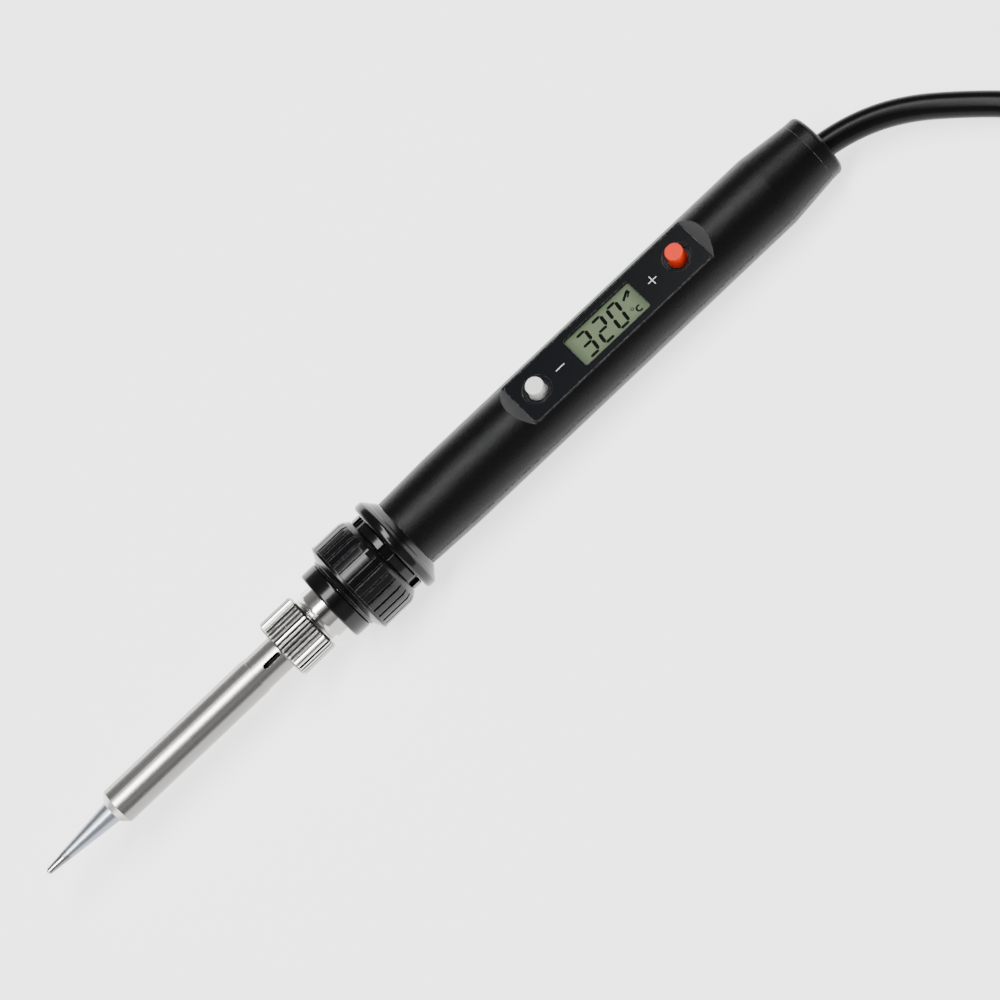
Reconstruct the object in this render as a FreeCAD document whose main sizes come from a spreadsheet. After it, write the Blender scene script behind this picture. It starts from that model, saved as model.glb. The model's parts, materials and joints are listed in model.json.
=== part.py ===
"""Mains soldering iron with a digital display, as separate sub-parts.

Millimetres. Every piece of the iron is drawn along its own X axis, from the point of the tip
(x = 0) to the end of the rear cap, with the control panel facing +Z. One shared placement then
lays the iron on a table: it rests on the finger guard and on the rear of the handle. The cord,
its tied hank and the plug are drawn straight in the table's frame, whose origin is the middle of
the iron's underside.
"""

import FreeCAD, Part
import math
import os

import Sketcher
from FreeCAD import Placement, Rotation, Vector

# ---------------------------------------------------------------- driving dimensions

SIZES = {
    # soldering tip and the tube over it
    "tip_end_radius": 0.45, "tip_nose": 0.35, "tip_nose_radius": 0.72,
    "tip_shoulder": 19.67, "tip_cone_radius": 2.62, "tip_shank_radius": 3.2, "tip_rear": 44.7,
    "tip_bore_front": 21.5, "tip_bore_radius": 2.1,
    "tube_mouth": 18.6, "tube_mouth_radius": 2.68, "tube_lip_radius": 2.9, "tube_cone_rear": 20.15,
    "tube_radius": 4.3, "tube_relief_front": 60.0, "tube_relief_radius": 4.1,
    "tube_bore_front": 19.65, "tube_bore_radius": 3.5,
    "tube_flange_front": 68.6, "tube_flange_radius": 5.3, "tube_rear": 69.5,
    "slot_middle": 64.7, "slot_length": 4.6, "slot_width": 1.15, "slot_count": 2,
    # knurled nut
    "nut_front": 67.4, "nut_front_land": 68.0, "nut_front_radius": 6.65, "nut_radius": 7.25,
    "nut_rear_land": 76.0, "nut_rear": 76.65, "nut_rear_radius": 6.35, "nut_hole_radius": 4.4,
    "nut_wall": 68.5, "nut_thread_radius": 5.62,
    "knurl_count": 44, "knurl_half": 0.38, "knurl_root": 6.88,
    # heater cartridge
    "sleeve_front": 69.6, "sleeve_bore": 3.4, "sleeve_thread_radius": 5.55, "sleeve_step": 78.3,
    "sleeve_radius": 6.0, "sleeve_land": 80.95, "sleeve_shank_radius": 5.0,
    "cartridge_flange_front": 88.4, "cartridge_flange_radius": 8.6, "cartridge_flange_rear": 89.4,
    "sleeve_rear": 100.0, "sleeve_thread_count": 10, "sleeve_thread_length": 7.6,
    "thread_half": 0.3, "thread_depth": 0.18,
    "heater_front": 22.5, "heater_rear": 85.2, "heater_radius": 1.9,
    "heater_collar_front": 72.0, "heater_collar_rear": 79.0, "heater_collar_radius": 3.35,
    "heater_collar_bore": 1.95,
    "ring_rear": 84.85, "ring_radius": 8.68, "ring_bore": 5.05, "ring_round": 0.55,
    # ribbed clamp collar
    "collar_front": 84.9, "collar_front_radius": 8.75, "collar_cone_front": 85.45,
    "collar_cone_radius": 8.95, "collar_lip_front": 86.65, "collar_lip_rear": 87.3,
    "collar_lip_radius": 11.38, "collar_rib_radius": 11.22, "collar_round_front": 94.2,
    "collar_round_middle": 95.2, "collar_round_radius": 10.85, "collar_rear": 96.4,
    "collar_rear_radius": 9.95, "collar_hole": 5.08, "collar_wall": 88.3, "collar_bore": 8.97,
    "rib_count": 32, "groove_half_root": 0.22, "groove_half_mouth": 0.4, "groove_root": 10.72,
    # threaded neck and finger guard
    "neck_front": 89.5, "neck_thread_radius": 8.9, "neck_bore": 5.5, "neck_ring_front": 96.45,
    "neck_ring_rear": 98.75, "neck_ring_radius": 9.75, "neck_spigot_radius": 7.2,
    "neck_flange_front": 108.0, "neck_flange_radius": 7.95, "neck_flange_rear": 109.5,
    "neck_rear": 112.0, "neck_thread_first": 90.3, "neck_thread_count": 6, "neck_thread_length": 5.2,
    "notch_count": 6, "notch_half": 1.5, "notch_root": 8.95, "neck_ring_round": 0.4,
    "guard_front": 98.85, "guard_front_radius": 11.05, "guard_land": 99.3, "guard_radius": 11.5,
    "guard_band_rear": 100.8, "guard_shoulder": 101.65, "guard_shoulder_radius": 10.55,
    "guard_step": 101.85, "guard_step_radius": 10.25, "guard_rear": 103.1,
    "guard_rear_radius": 8.85, "guard_bore": 7.25, "guard_round": 0.75,
    # handle shells
    "shell_front": 103.15, "shell_front_radius": 8.5, "shell_full": 116.3, "shell_radius": 8.9,
    "shell_taper": 208.0, "shell_rear": 219.65, "shell_rear_radius": 7.7, "cavity_radius": 7.3,
    "cavity_taper": 206.0, "cavity_rear_radius": 6.2, "flange_groove_front": 107.9,
    "flange_groove_rear": 109.6, "flange_groove_radius": 8.0, "seam_height": 0.11, "seam_depth": 0.28,
    "fill_front": 134.4, "fill_rear": 193.6, "fill_underside": 5.0,
    "boss_front_x": 118.0, "boss_rear_x": 198.5, "upper_boss_radius": 2.0, "screw_bore": 1.02,
    "lower_boss_radius": 2.6, "screw_clear": 1.15, "counterbore_radius": 2.05,
    "boss_reach": 7.8, "lower_boss_reach": 7.4, "counterbore_floor": 6.0, "screw_depth": 5.6,
    "rib_front_x": 131.0, "rib_rear_x": 188.5, "rib_thick": 1.5, "rib_half": 4.4,
    "rib_reach": 7.0, "clamp_post_radius": 1.4, "clamp_post_bore": 0.72, "clamp_post_top": 2.45,
    "clamp_post_reach": 5.6,
    # control panel
    "flat_height": 6.66, "flat_front": 138.6, "flat_rear": 189.45, "ramp_front": 135.85,
    "ramp_rear": 192.1, "ramp_top": 9.05,
    "bed_front": 138.7, "bed_rear": 189.4, "bed_half": 5.65, "bed_height": 5.86, "bed_corner": 1.1,
    "plate_front": 138.76, "plate_length": 50.58, "plate_half": 5.59, "plate_thick": 0.75,
    "plate_corner": 1.05, "window_front": 154.6, "window_length": 18.45, "window_half": 4.03,
    "window_corner": 0.5, "button_hole": 2.85, "dish_radius": 3.3, "dish_depth": 0.3,
    "deck_hole": 2.2, "deck_floor": 4.0, "lens_front": 154.66, "lens_length": 18.33, "lens_half": 3.97,
    "lens_thick": 0.5, "lens_base": 5.98, "lens_corner": 0.45,
    # display
    "cell_front": 153.1, "cell_length": 21.4, "cell_half": 4.85, "cell_base": 4.2,
    "cell_thick": 1.64, "deck_window_front": 152.95, "deck_window_length": 21.7,
    "deck_window_half": 5.0,
    "holder_front": 152.6, "holder_length": 22.4, "holder_half": 5.2, "holder_base": 1.83,
    "holder_thick": 2.34, "holder_open_front": 155.0, "holder_open_length": 17.6,
    "holder_open_half": 3.1, "strip_front": 155.0, "strip_length": 17.6, "strip_inner": 3.55,
    "strip_width": 1.2, "strip_gap": 0.05,
    # circuit board and what it carries
    "board_front": 123.0, "board_length": 71.5, "board_half": 6.7, "board_base": 0.8,
    "board_thick": 1.0,
    "minus_x": 143.8, "plus_x": 184.1, "switch_side": 4.5, "switch_height": 2.1,
    "switch_hole": 1.0, "switch_hole_floor": 2.5, "plunger_radius": 0.9, "plunger_base": 3.1,
    "plunger_top": 4.4,
    "button_base": 4.45, "button_flange_top": 4.93, "button_flange_radius": 2.75,
    "button_radius": 2.0, "minus_top": 8.9, "plus_top": 9.46, "button_round": 0.22,
    "chip_front": 160.0, "chip_side": 7.0, "chip_thick": 1.2,
    "triac_front": 126.5, "triac_length": 4.6, "triac_width": 4.4, "triac_height": 3.4,
    "film_front": 171.0, "film_length": 10.5, "film_width": 5.0, "film_height": 5.6,
    "can_front": 143.0, "can_length": 9.0, "can_radius": 2.4,
    "fuse_front": 188.0, "fuse_length": 5.6, "fuse_radius": 1.3,
    # screws
    "screw_head_radius": 1.9, "screw_head_low": 7.7, "screw_head_top": 6.05, "screw_radius": 1.0,
    "screw_tip": 5.4, "screw_recess_long": 2.2, "screw_recess_wide": 0.5, "screw_recess_deep": 0.7,
    "clamp_screw_head_radius": 1.1, "clamp_screw_radius": 0.7, "clamp_screw_head": 0.8,
    "clamp_screw_low": 5.2,
    # rear end
    "cap_sleeve_front": 212.6, "cap_sleeve_radius": 6.1, "cap_front": 219.7, "cap_radius": 7.68,
    "cap_rear": 223.0, "cap_rear_radius": 7.6, "cap_bore": 4.95, "cap_round": 1.15,
    "grommet_front": 214.0, "grommet_radius": 4.9, "grommet_rear": 222.85, "grommet_bore": 3.25,
    "grommet_mouth": 3.95,
    "clamp_front": 207.3, "clamp_length": 4.0, "clamp_half": 5.2, "clamp_low": 2.4,
    "clamp_height": 5.6, "clamp_bore": 3.15, "clamp_x": 209.3, "clamp_screw_y": 4.0,
    # wires and cord
    "lead_radius": 0.35, "mains_lead_radius": 0.6, "cord_radius": 2.9, "hank_lift": 0.5,
    "hank_left": 190.0, "hank_right": 266.0, "hank_y": -17.0, "hank_fold": 27.7,
    "hank_waist": 11.9, "hank_height": 11.6,
    "tie_width": 6.0, "tie_thick": 0.45, "tie_half": 12.2, "tie_round": 0.8,
    # plug
    "plug_length": 22.0, "plug_rear_half": 8.2, "plug_shoulder": 9.5, "plug_half": 17.65,
    "plug_thick": 13.7, "plug_corner": 3.2, "plug_edge": 2.2, "pin_spacing": 18.6,
    "pin_radius": 2.0, "pin_core_radius": 1.5, "pin_root": 2.0, "pin_sleeve_length": 10.0,
    "pin_length": 19.0, "pin_round": 0.9, "pin_sleeve_radius": 2.0,
    "relief_length": 28.0, "relief_root_radius": 5.4, "relief_end_radius": 3.7,
    "relief_bore": 2.95, "relief_groove_count": 5,
    "relief_groove_width": 1.6, "relief_groove_pitch": 4.4, "relief_groove_first": 4.0,
    # how the iron faces and lies
    "view_roll": 27.0,
}


def rest_on_table():
    """The tilt and the shifts that put the guard and the handle's rear on the table."""
    rise = SIZES["guard_radius"] - SIZES["shell_radius"]
    tilt = math.atan2(rise, SIZES["shell_taper"] - SIZES["guard_band_rear"])
    lift = SIZES["guard_radius"] * math.cos(tilt) + SIZES["guard_band_rear"] * math.sin(tilt)
    middle = SIZES["cap_rear"] * math.cos(tilt) + SIZES["cap_rear_radius"] * math.sin(tilt)
    SIZES["rest_tilt"] = math.degrees(tilt)
    SIZES["rest_lift"] = lift
    SIZES["rest_shift"] = -middle / 2


# ---------------------------------------------------------------- document and helpers

doc = FreeCAD.newDocument("soldering_iron")
sub_parts = []


def make_sheet():
    """Writes every size into a spreadsheet, a name and a plain number to a row."""
    sheet = doc.addObject("Spreadsheet::Sheet", "sizes")
    for row, (name, value) in enumerate(SIZES.items(), start=1):
        sheet.set(f"A{row}", name)
        sheet.set(f"B{row}", str(round(value, 6)))
        sheet.setAlias(f"B{row}", name)
    doc.recompute()


def bind(item, path, formula):
    """Binds a property to the sheet; words of the formula that name a cell point to it."""
    words = [f"sizes.{word}" if word in SIZES else word for word in formula.split()]
    item.setExpression(path, " ".join(words))


def keep(item, label, placement):
    """Names a finished sub-part and puts it in its place."""
    item.Label = label
    item.Placement = placement
    sub_parts.append(item)
    return item


def at(x=0.0, y=0.0, z=0.0):
    return Placement(Vector(x, y, z), Rotation())


def new_body(label):
    body = doc.addObject("PartDesign::Body", label)
    body.Label = label
    return body


def new_sketch(body, role, offset=None):
    """A sketch on one of the body's own origin planes, moved from it by offset."""
    sketch = body.newObject("Sketcher::SketchObject", f"{body.Name}_outline")
    plane = [item for item in body.Origin.OriginFeatures if item.Role == role][0]
    sketch.AttachmentSupport = [(plane, "")]
    sketch.MapMode = "FlatFace"
    if offset:
        sketch.AttachmentOffset = offset
    return sketch


def number(name):
    """The value of a coordinate: a size's name, -name for its negative, or 0."""
    if name == "0":
        return 0.0
    return -SIZES[name[1:]] if name.startswith("-") else SIZES[name]


def hold(sketch, geometry, point, kind, name):
    """Fixes one coordinate of a point, measured from the sketch's origin, to a size."""
    if name == "0":
        axis = -2 if kind == "DistanceX" else -1
        sketch.addConstraint(Sketcher.Constraint("PointOnObject", geometry, point, axis))
        return
    size = name.lstrip("-")
    ends = (geometry, point, -1, 1) if name.startswith("-") else (-1, 1, geometry, point)
    index = sketch.addConstraint(Sketcher.Constraint(kind, *ends, SIZES[size]))
    bind(sketch, f"Constraints[{index}]", size)


def closed_outline(sketch, points):
    """A closed outline of straight lines through points given by the names of their sizes."""
    corners = [Vector(number(x), number(y), 0) for x, y in points]
    first = sketch.GeometryCount
    for here, there in zip(corners, corners[1:] + corners[:1]):
        sketch.addGeometry(Part.LineSegment(here, there), False)
    count = len(points)
    for index in range(count):
        following = first + (index + 1) % count
        sketch.addConstraint(Sketcher.Constraint("Coincident", first + index, 2, following, 1))
    for index, (x, y) in enumerate(points):
        hold(sketch, first + index, 1, "DistanceX", x)
        hold(sketch, first + index, 1, "DistanceY", y)


def circle(sketch, x, y, radius):
    """A circle whose centre and radius are sizes."""
    centre = Vector(number(x), number(y), 0)
    index = sketch.addGeometry(Part.Circle(centre, Vector(0, 0, 1), SIZES[radius]), False)
    hold(sketch, index, 3, "DistanceX", x)
    hold(sketch, index, 3, "DistanceY", y)
    datum = sketch.addConstraint(Sketcher.Constraint("Radius", index, SIZES[radius]))
    bind(sketch, f"Constraints[{datum}]", radius)


def band(length_front, half):
    """The corners of a rectangle that is symmetric about the X axis."""
    front, rear = length_front
    return [(front, f"-{half}"), (rear, f"-{half}"), (rear, half), (front, half)]


def feature(body, kind, sketch, **settings):
    """A PartDesign feature on a sketch, which becomes the body's tip."""
    item = body.newObject(f"PartDesign::{kind}", f"{body.Name}_{kind.lower()}")
    item.Profile = sketch
    for name, value in settings.items():
        setattr(item, name, value)
    body.Tip = item
    return item


def must_cut(body, cut):
    """Recomputes, and stops if a cut has taken nothing away."""
    before = cut.BaseFeature.Shape.Volume
    doc.recompute()
    if before - body.Shape.Volume < 1e-4:
        raise RuntimeError(f"{cut.Name} cuts nothing from {body.Label}")


def turned(label, points, axis="H_Axis", angle=360.0, reverse=False):
    """A body turned about the X axis (H_Axis) or about the Z axis (V_Axis)."""
    body = new_body(label)
    role = "XZ_Plane" if angle == 360.0 else "XY_Plane"
    sketch = new_sketch(body, role)
    closed_outline(sketch, points)
    feature(body, "Revolution", sketch, ReferenceAxis=(sketch, [axis]), Angle=angle,
            Reversed=reverse)
    doc.recompute()
    return body


def grooved(body, points, role="XZ_Plane"):
    """Turns an outline about the X axis and takes it away."""
    sketch = new_sketch(body, role)
    closed_outline(sketch, points)
    cut = feature(body, "Groove", sketch, ReferenceAxis=(sketch, ["H_Axis"]), Angle=360.0)
    must_cut(body, cut)
    return cut


def pocket(body, draw, role, offset, depth=None, reverse=False, middle=False):
    """Takes away what draw(sketch) outlines; with no depth it goes right through."""
    sketch = new_sketch(body, role, offset)
    draw(sketch)
    cut = feature(body, "Pocket", sketch, Reversed=reverse, Midplane=middle)
    if depth:
        bind(cut, "Length", depth)
    else:
        cut.Type = "ThroughAll"
    must_cut(body, cut)
    return cut


def pad(body, draw, role, offset, depth, reverse=False, middle=False):
    """Adds what draw(sketch) outlines."""
    sketch = new_sketch(body, role, offset)
    draw(sketch)
    grown = feature(body, "Pad", sketch, Reversed=reverse, Midplane=middle)
    bind(grown, "Length", depth)
    doc.recompute()
    return grown


def around(body, cut, count):
    """Repeats a cut evenly round the X axis."""
    pattern = body.newObject("PartDesign::PolarPattern", f"{body.Name}_around")
    pattern.Originals = [cut]
    line = [item for item in body.Origin.OriginFeatures if item.Role == "X_Axis"][0]
    pattern.Axis = (line, [""])
    pattern.Angle = 360.0
    bind(pattern, "Occurrences", count)
    body.Tip = pattern
    doc.recompute()


def along(body, cut, count, length):
    """Repeats a cut evenly along the X axis."""
    pattern = body.newObject("PartDesign::LinearPattern", f"{body.Name}_along")
    pattern.Originals = [cut]
    line = [item for item in body.Origin.OriginFeatures if item.Role == "X_Axis"][0]
    pattern.Direction = (line, [""])
    bind(pattern, "Length", length)
    bind(pattern, "Occurrences", count)
    body.Tip = pattern
    doc.recompute()


def dressed(body, kind, size, test):
    """Fillets or chamfers the edges that pass the test."""
    base = body.Tip
    names = [f"Edge{i}" for i, edge in enumerate(base.Shape.Edges, start=1) if test(edge)]
    if not names:
        raise RuntimeError(f"no edge of {body.Label} passes the test for its {kind}")
    item = body.newObject(f"PartDesign::{kind}", f"{body.Name}_{kind.lower()}")
    item.Base = (base, names)
    bind(item, "Radius" if kind == "Fillet" else "Size", size)
    body.Tip = item
    doc.recompute()
    return item


def near(value, target, slack=0.02):
    return abs(value - target) < slack


def ring_at(x, radius):
    """A test for the round edge at that station with that radius."""
    def test(edge):
        curve = edge.Curve
        return isinstance(curve, Part.Circle) and near(curve.Center.x, x) and near(curve.Radius, radius)
    return test


def upright_at(stations):
    """A test for a straight edge along Z at one of those stations."""
    def test(edge):
        low, high = edge.BoundBox.ZMin, edge.BoundBox.ZMax
        straight = near(edge.BoundBox.XLength, 0) and near(edge.BoundBox.YLength, 0)
        return straight and high - low > 0.1 and any(near(edge.BoundBox.XMin, x) for x in stations)
    return test


def block(label, corner, size):
    """A box whose sides are sizes and whose low corner is given in millimetres."""
    box = doc.addObject("Part::Box", label)
    for side, name in zip(("Length", "Width", "Height"), size):
        bind(box, side, name)
    box.Placement = at(*corner)
    return box


def rod(label, radius, length, placement):
    """A cylinder whose radius and length are sizes."""
    cylinder = doc.addObject("Part::Cylinder", label)
    bind(cylinder, "Radius", radius)
    bind(cylinder, "Height", length)
    cylinder.Placement = placement
    return cylinder


def cut_from(label, base, tools):
    """Takes tools away from base, one after another."""
    for index, tool in enumerate(tools):
        cut = doc.addObject("Part::Cut", f"{label}_cut{index}")
        cut.Base = base
        cut.Tool = tool
        base = cut
    return base


def group(label, pieces):
    """Separate solids that share one node."""
    compound = doc.addObject("Part::Compound", label)
    compound.Links = pieces
    return compound


def rounded_path(points):
    """Straight runs joined by tangent arcs, each as large as its two runs allow.

    Gives the wire and the arcs' radii.
    """
    corners = [Vector(*point) for point in points]
    edges, radii, start = [], [], corners[0]
    for before, corner, after in zip(corners, corners[1:], corners[2:]):
        back, ahead = before - corner, after - corner
        half = (math.pi - back.getAngle(ahead)) / 2
        cut = 0.45 * min(back.Length, ahead.Length)
        back.normalize()
        ahead.normalize()
        radius = cut / math.tan(half)
        radii.append(radius)
        first, last = corner + back * cut, corner + ahead * cut
        bisector = (back + ahead).normalize()
        middle = corner + bisector * (radius / math.cos(half) - radius)
        edges.append(Part.LineSegment(start, first).toShape())
        edges.append(Part.Arc(first, middle, last).toShape())
        start = last
    edges.append(Part.LineSegment(start, corners[-1]).toShape())
    return Part.Wire(edges), radii


def tube(label, points, radius):
    """A round solid along a route, as a Part::Feature. Prints how tight the route is."""
    path, radii = rounded_path(points)
    start = Vector(*points[0])
    heading = Vector(*points[1]) - start
    section = Part.Wire(Part.Circle(start, heading, radius).toShape())
    shape = path.makePipeShell([section], True, False)
    ideal = math.pi * radius ** 2 * path.Length
    if abs(shape.Volume / ideal - 1) > 0.01:
        raise RuntimeError(f"{label} has volume {shape.Volume:.1f} and not {ideal:.1f}")
    print(f"{label}: {path.Length:.1f} mm long, radii", " ".join(f"{r:.1f}" for r in radii))
    item = doc.addObject("Part::Feature", label)
    item.Shape = shape
    return item


# ---------------------------------------------------------------- metal front end


def soldering_tip():
    return turned("soldering_tip", [
        ("0", "0"), ("0", "tip_end_radius"), ("tip_nose", "tip_nose_radius"),
        ("tip_shoulder", "tip_cone_radius"), ("tip_shoulder", "tip_shank_radius"),
        ("tip_rear", "tip_shank_radius"), ("tip_rear", "tip_bore_radius"),
        ("tip_bore_front", "tip_bore_radius"), ("tip_bore_front", "0")])


def barrel_tube():
    """The steel tube that holds the tip, with two vent slots near the nut."""
    body = turned("barrel_tube", [
        ("tube_mouth", "tube_mouth_radius"), ("tube_mouth", "tube_lip_radius"),
        ("tube_cone_rear", "tube_radius"), ("tube_relief_front", "tube_radius"),
        ("tube_relief_front", "tube_relief_radius"), ("tube_flange_front", "tube_relief_radius"),
        ("tube_flange_front", "tube_flange_radius"), ("tube_rear", "tube_flange_radius"),
        ("tube_rear", "tube_bore_radius"), ("tube_bore_front", "tube_bore_radius"),
        ("tube_bore_front", "tube_mouth_radius")])
    half_width = SIZES["slot_width"] / 2
    half_straight = SIZES["slot_length"] / 2 - half_width

    def slot(sketch):
        front = Vector(SIZES["slot_middle"] - half_straight, 0, 0)
        rear = Vector(SIZES["slot_middle"] + half_straight, 0, 0)
        up = Vector(0, half_width, 0)
        turn = Vector(half_width, 0, 0)
        sketch.addGeometry(Part.LineSegment(front + up, rear + up), False)
        sketch.addGeometry(Part.Arc(rear + up, rear + turn, rear - up), False)
        sketch.addGeometry(Part.LineSegment(rear - up, front - up), False)
        sketch.addGeometry(Part.Arc(front - up, front - turn, front + up), False)
        for first, second in ((0, 1), (1, 2), (2, 3), (3, 0)):
            distances = {
                (a, b): sketch.getPoint(first, a).distanceToPoint(sketch.getPoint(second, b))
                for a in (1, 2) for b in (1, 2)}
            a, b = min(distances, key=distances.get)
            sketch.addConstraint(Sketcher.Constraint("Tangent", first, a, second, b))
        sketch.addConstraint(Sketcher.Constraint("Horizontal", 0))
        width = sketch.addConstraint(Sketcher.Constraint("Radius", 1, half_width))
        bind(sketch, f"Constraints[{width}]", "slot_width / 2")
        for arc, formula in ((1, "slot_middle + ( slot_length - slot_width ) / 2"),
                             (3, "slot_middle - ( slot_length - slot_width ) / 2")):
            place = sketch.getPoint(arc, 3).x
            index = sketch.addConstraint(Sketcher.Constraint("DistanceX", -1, 1, arc, 3, place))
            bind(sketch, f"Constraints[{index}]", formula)
        sketch.addConstraint(Sketcher.Constraint("PointOnObject", 1, 3, -1))

    facing = Placement(Vector(), Rotation(Vector(1, 0, 0), SIZES["view_roll"]))
    cut = pocket(body, slot, "XY_Plane", facing, "tube_flange_radius", reverse=True)
    around(body, cut, "slot_count")
    return body


def barrel_nut():
    """The knurled nut, which holds the tube's flange against the cartridge."""
    body = turned("barrel_nut", [
        ("nut_front", "nut_hole_radius"), ("nut_front", "nut_front_radius"),
        ("nut_front_land", "nut_radius"), ("nut_rear_land", "nut_radius"),
        ("nut_rear", "nut_rear_radius"), ("nut_rear", "nut_thread_radius"),
        ("nut_wall", "nut_thread_radius"), ("nut_wall", "nut_hole_radius")])

    def notch(sketch):
        closed_outline(sketch, [
            ("0", "knurl_root"), ("knurl_half", "nut_radius"), ("knurl_half", "nut_over"),
            ("-knurl_half", "nut_over"), ("-knurl_half", "nut_radius")])

    cut = pocket(body, notch, "YZ_Plane", at(z=SIZES["nut_front"] - 1), None, reverse=True)
    around(body, cut, "knurl_count")
    return body


def threaded_sleeve():
    """The plated sleeve of the heater cartridge, with the thread that the nut runs on."""
    body = turned("threaded_sleeve", [
        ("sleeve_front", "sleeve_bore"), ("sleeve_front", "sleeve_thread_radius"),
        ("sleeve_step", "sleeve_thread_radius"), ("sleeve_step", "sleeve_radius"),
        ("sleeve_land", "sleeve_radius"), ("sleeve_land", "sleeve_shank_radius"),
        ("cartridge_flange_front", "sleeve_shank_radius"),
        ("cartridge_flange_front", "cartridge_flange_radius"),
        ("cartridge_flange_rear", "cartridge_flange_radius"),
        ("cartridge_flange_rear", "sleeve_shank_radius"), ("sleeve_rear", "sleeve_shank_radius"),
        ("sleeve_rear", "sleeve_bore")])
    cut = grooved(body, [("sleeve_thread_a", "sleeve_thread_over"),
                         ("sleeve_thread_b", "sleeve_thread_root"),
                         ("sleeve_thread_c", "sleeve_thread_over")])
    along(body, cut, "sleeve_thread_count", "sleeve_thread_length")
    return body


def heater_element():
    return turned("heater_element", [
        ("heater_front", "0"), ("heater_front", "heater_radius"), ("heater_rear", "heater_radius"),
        ("heater_rear", "0")])


def heater_collar():
    return turned("heater_collar", [
        ("heater_collar_front", "heater_collar_bore"),
        ("heater_collar_front", "heater_collar_radius"),
        ("heater_collar_rear", "heater_collar_radius"),
        ("heater_collar_rear", "heater_collar_bore")])


def stopper_ring():
    body = turned("stopper_ring", [
        ("sleeve_land", "ring_bore"), ("sleeve_land", "ring_radius"),
        ("ring_rear", "ring_radius"), ("ring_rear", "ring_bore")])
    front = ring_at(SIZES["sleeve_land"], SIZES["ring_radius"])
    rear = ring_at(SIZES["ring_rear"], SIZES["ring_radius"])
    dressed(body, "Fillet", "ring_round", lambda edge: front(edge) or rear(edge))
    return body


# ---------------------------------------------------------------- collar, neck and guard


def clamp_collar():
    """The ribbed ring that screws onto the neck and holds the cartridge."""
    body = turned("clamp_collar", [
        ("collar_front", "collar_hole"), ("collar_front", "collar_front_radius"),
        ("collar_cone_front", "collar_cone_radius"), ("collar_lip_front", "collar_lip_radius"),
        ("collar_lip_rear", "collar_lip_radius"), ("collar_lip_rear", "collar_rib_radius"),
        ("collar_round_front", "collar_rib_radius"),
        ("collar_round_middle", "collar_round_radius"), ("collar_rear", "collar_rear_radius"),
        ("collar_rear", "collar_bore"), ("collar_wall", "collar_bore"),
        ("collar_wall", "collar_hole")])

    def groove(sketch):
        closed_outline(sketch, [
            ("-groove_half_root", "groove_root"), ("groove_half_root", "groove_root"),
            ("groove_half_mouth", "groove_over"), ("-groove_half_mouth", "groove_over")])

    cut = pocket(body, groove, "YZ_Plane", at(z=SIZES["collar_lip_rear"]), None, reverse=True)
    around(body, cut, "rib_count")
    return body


def threaded_neck():
    """The bush in the handle's front: thread, notched ring, and a spigot that the shells grip."""
    body = turned("threaded_neck", [
        ("neck_front", "neck_bore"), ("neck_front", "neck_thread_radius"),
        ("neck_ring_front", "neck_thread_radius"), ("neck_ring_front", "neck_ring_radius"),
        ("neck_ring_rear", "neck_ring_radius"), ("neck_ring_rear", "neck_spigot_radius"),
        ("neck_flange_front", "neck_spigot_radius"), ("neck_flange_front", "neck_flange_radius"),
        ("neck_flange_rear", "neck_flange_radius"), ("neck_flange_rear", "neck_spigot_radius"),
        ("neck_rear", "neck_spigot_radius"), ("neck_rear", "neck_bore")])
    thread = grooved(body, [("neck_thread_a", "neck_thread_over"),
                            ("neck_thread_b", "neck_thread_root"),
                            ("neck_thread_c", "neck_thread_over")])
    along(body, thread, "neck_thread_count", "neck_thread_length")

    def notch(sketch):
        closed_outline(sketch, [("-notch_half", "notch_root"), ("notch_half", "notch_root"),
                                ("notch_half", "notch_over"), ("-notch_half", "notch_over")])

    turn = Rotation(Vector(0, 0, 1), SIZES["view_roll"])
    start = Placement(Vector(0, 0, SIZES["neck_ring_front"]), turn)
    cut = pocket(body, notch, "YZ_Plane", start, "neck_ring_width", reverse=True)
    around(body, cut, "notch_count")
    front = ring_at(SIZES["neck_ring_front"], SIZES["neck_ring_radius"])
    rear = ring_at(SIZES["neck_ring_rear"], SIZES["neck_ring_radius"])
    dressed(body, "Fillet", "neck_ring_round", lambda edge: front(edge) or rear(edge))
    return body


def finger_guard():
    """The flared ring in front of the handle."""
    body = turned("finger_guard", [
        ("guard_front", "guard_bore"), ("guard_front", "guard_front_radius"),
        ("guard_land", "guard_radius"), ("guard_band_rear", "guard_radius"),
        ("guard_shoulder", "guard_shoulder_radius"), ("guard_step", "guard_step_radius"),
        ("guard_rear", "guard_rear_radius"), ("guard_rear", "guard_bore")])
    front = ring_at(SIZES["guard_land"], SIZES["guard_radius"])
    rear = ring_at(SIZES["guard_band_rear"], SIZES["guard_radius"])
    dressed(body, "Fillet", "guard_round", lambda edge: front(edge) or rear(edge))
    return body


# ---------------------------------------------------------------- handle shells


def shell_blank(label, lower):
    """A solid half of the handle, from the parting plane outwards."""
    body = turned(label, [
        ("shell_front", "0"), ("shell_front", "shell_front_radius"),
        ("shell_full", "shell_radius"), ("shell_taper", "shell_radius"),
        ("shell_rear", "shell_rear_radius"), ("shell_rear", "0")],
        angle=180.0, reverse=lower)
    return body


def cavity_outline(front, rear_points):
    """The inside of the handle from its front end, with the groove for the neck's flange."""
    return [("shell_front", "0"), ("shell_front", front), ("flange_groove_front", front),
            ("flange_groove_front", "flange_groove_radius"),
            ("flange_groove_rear", "flange_groove_radius"), ("flange_groove_rear", front),
            *rear_points]


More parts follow.
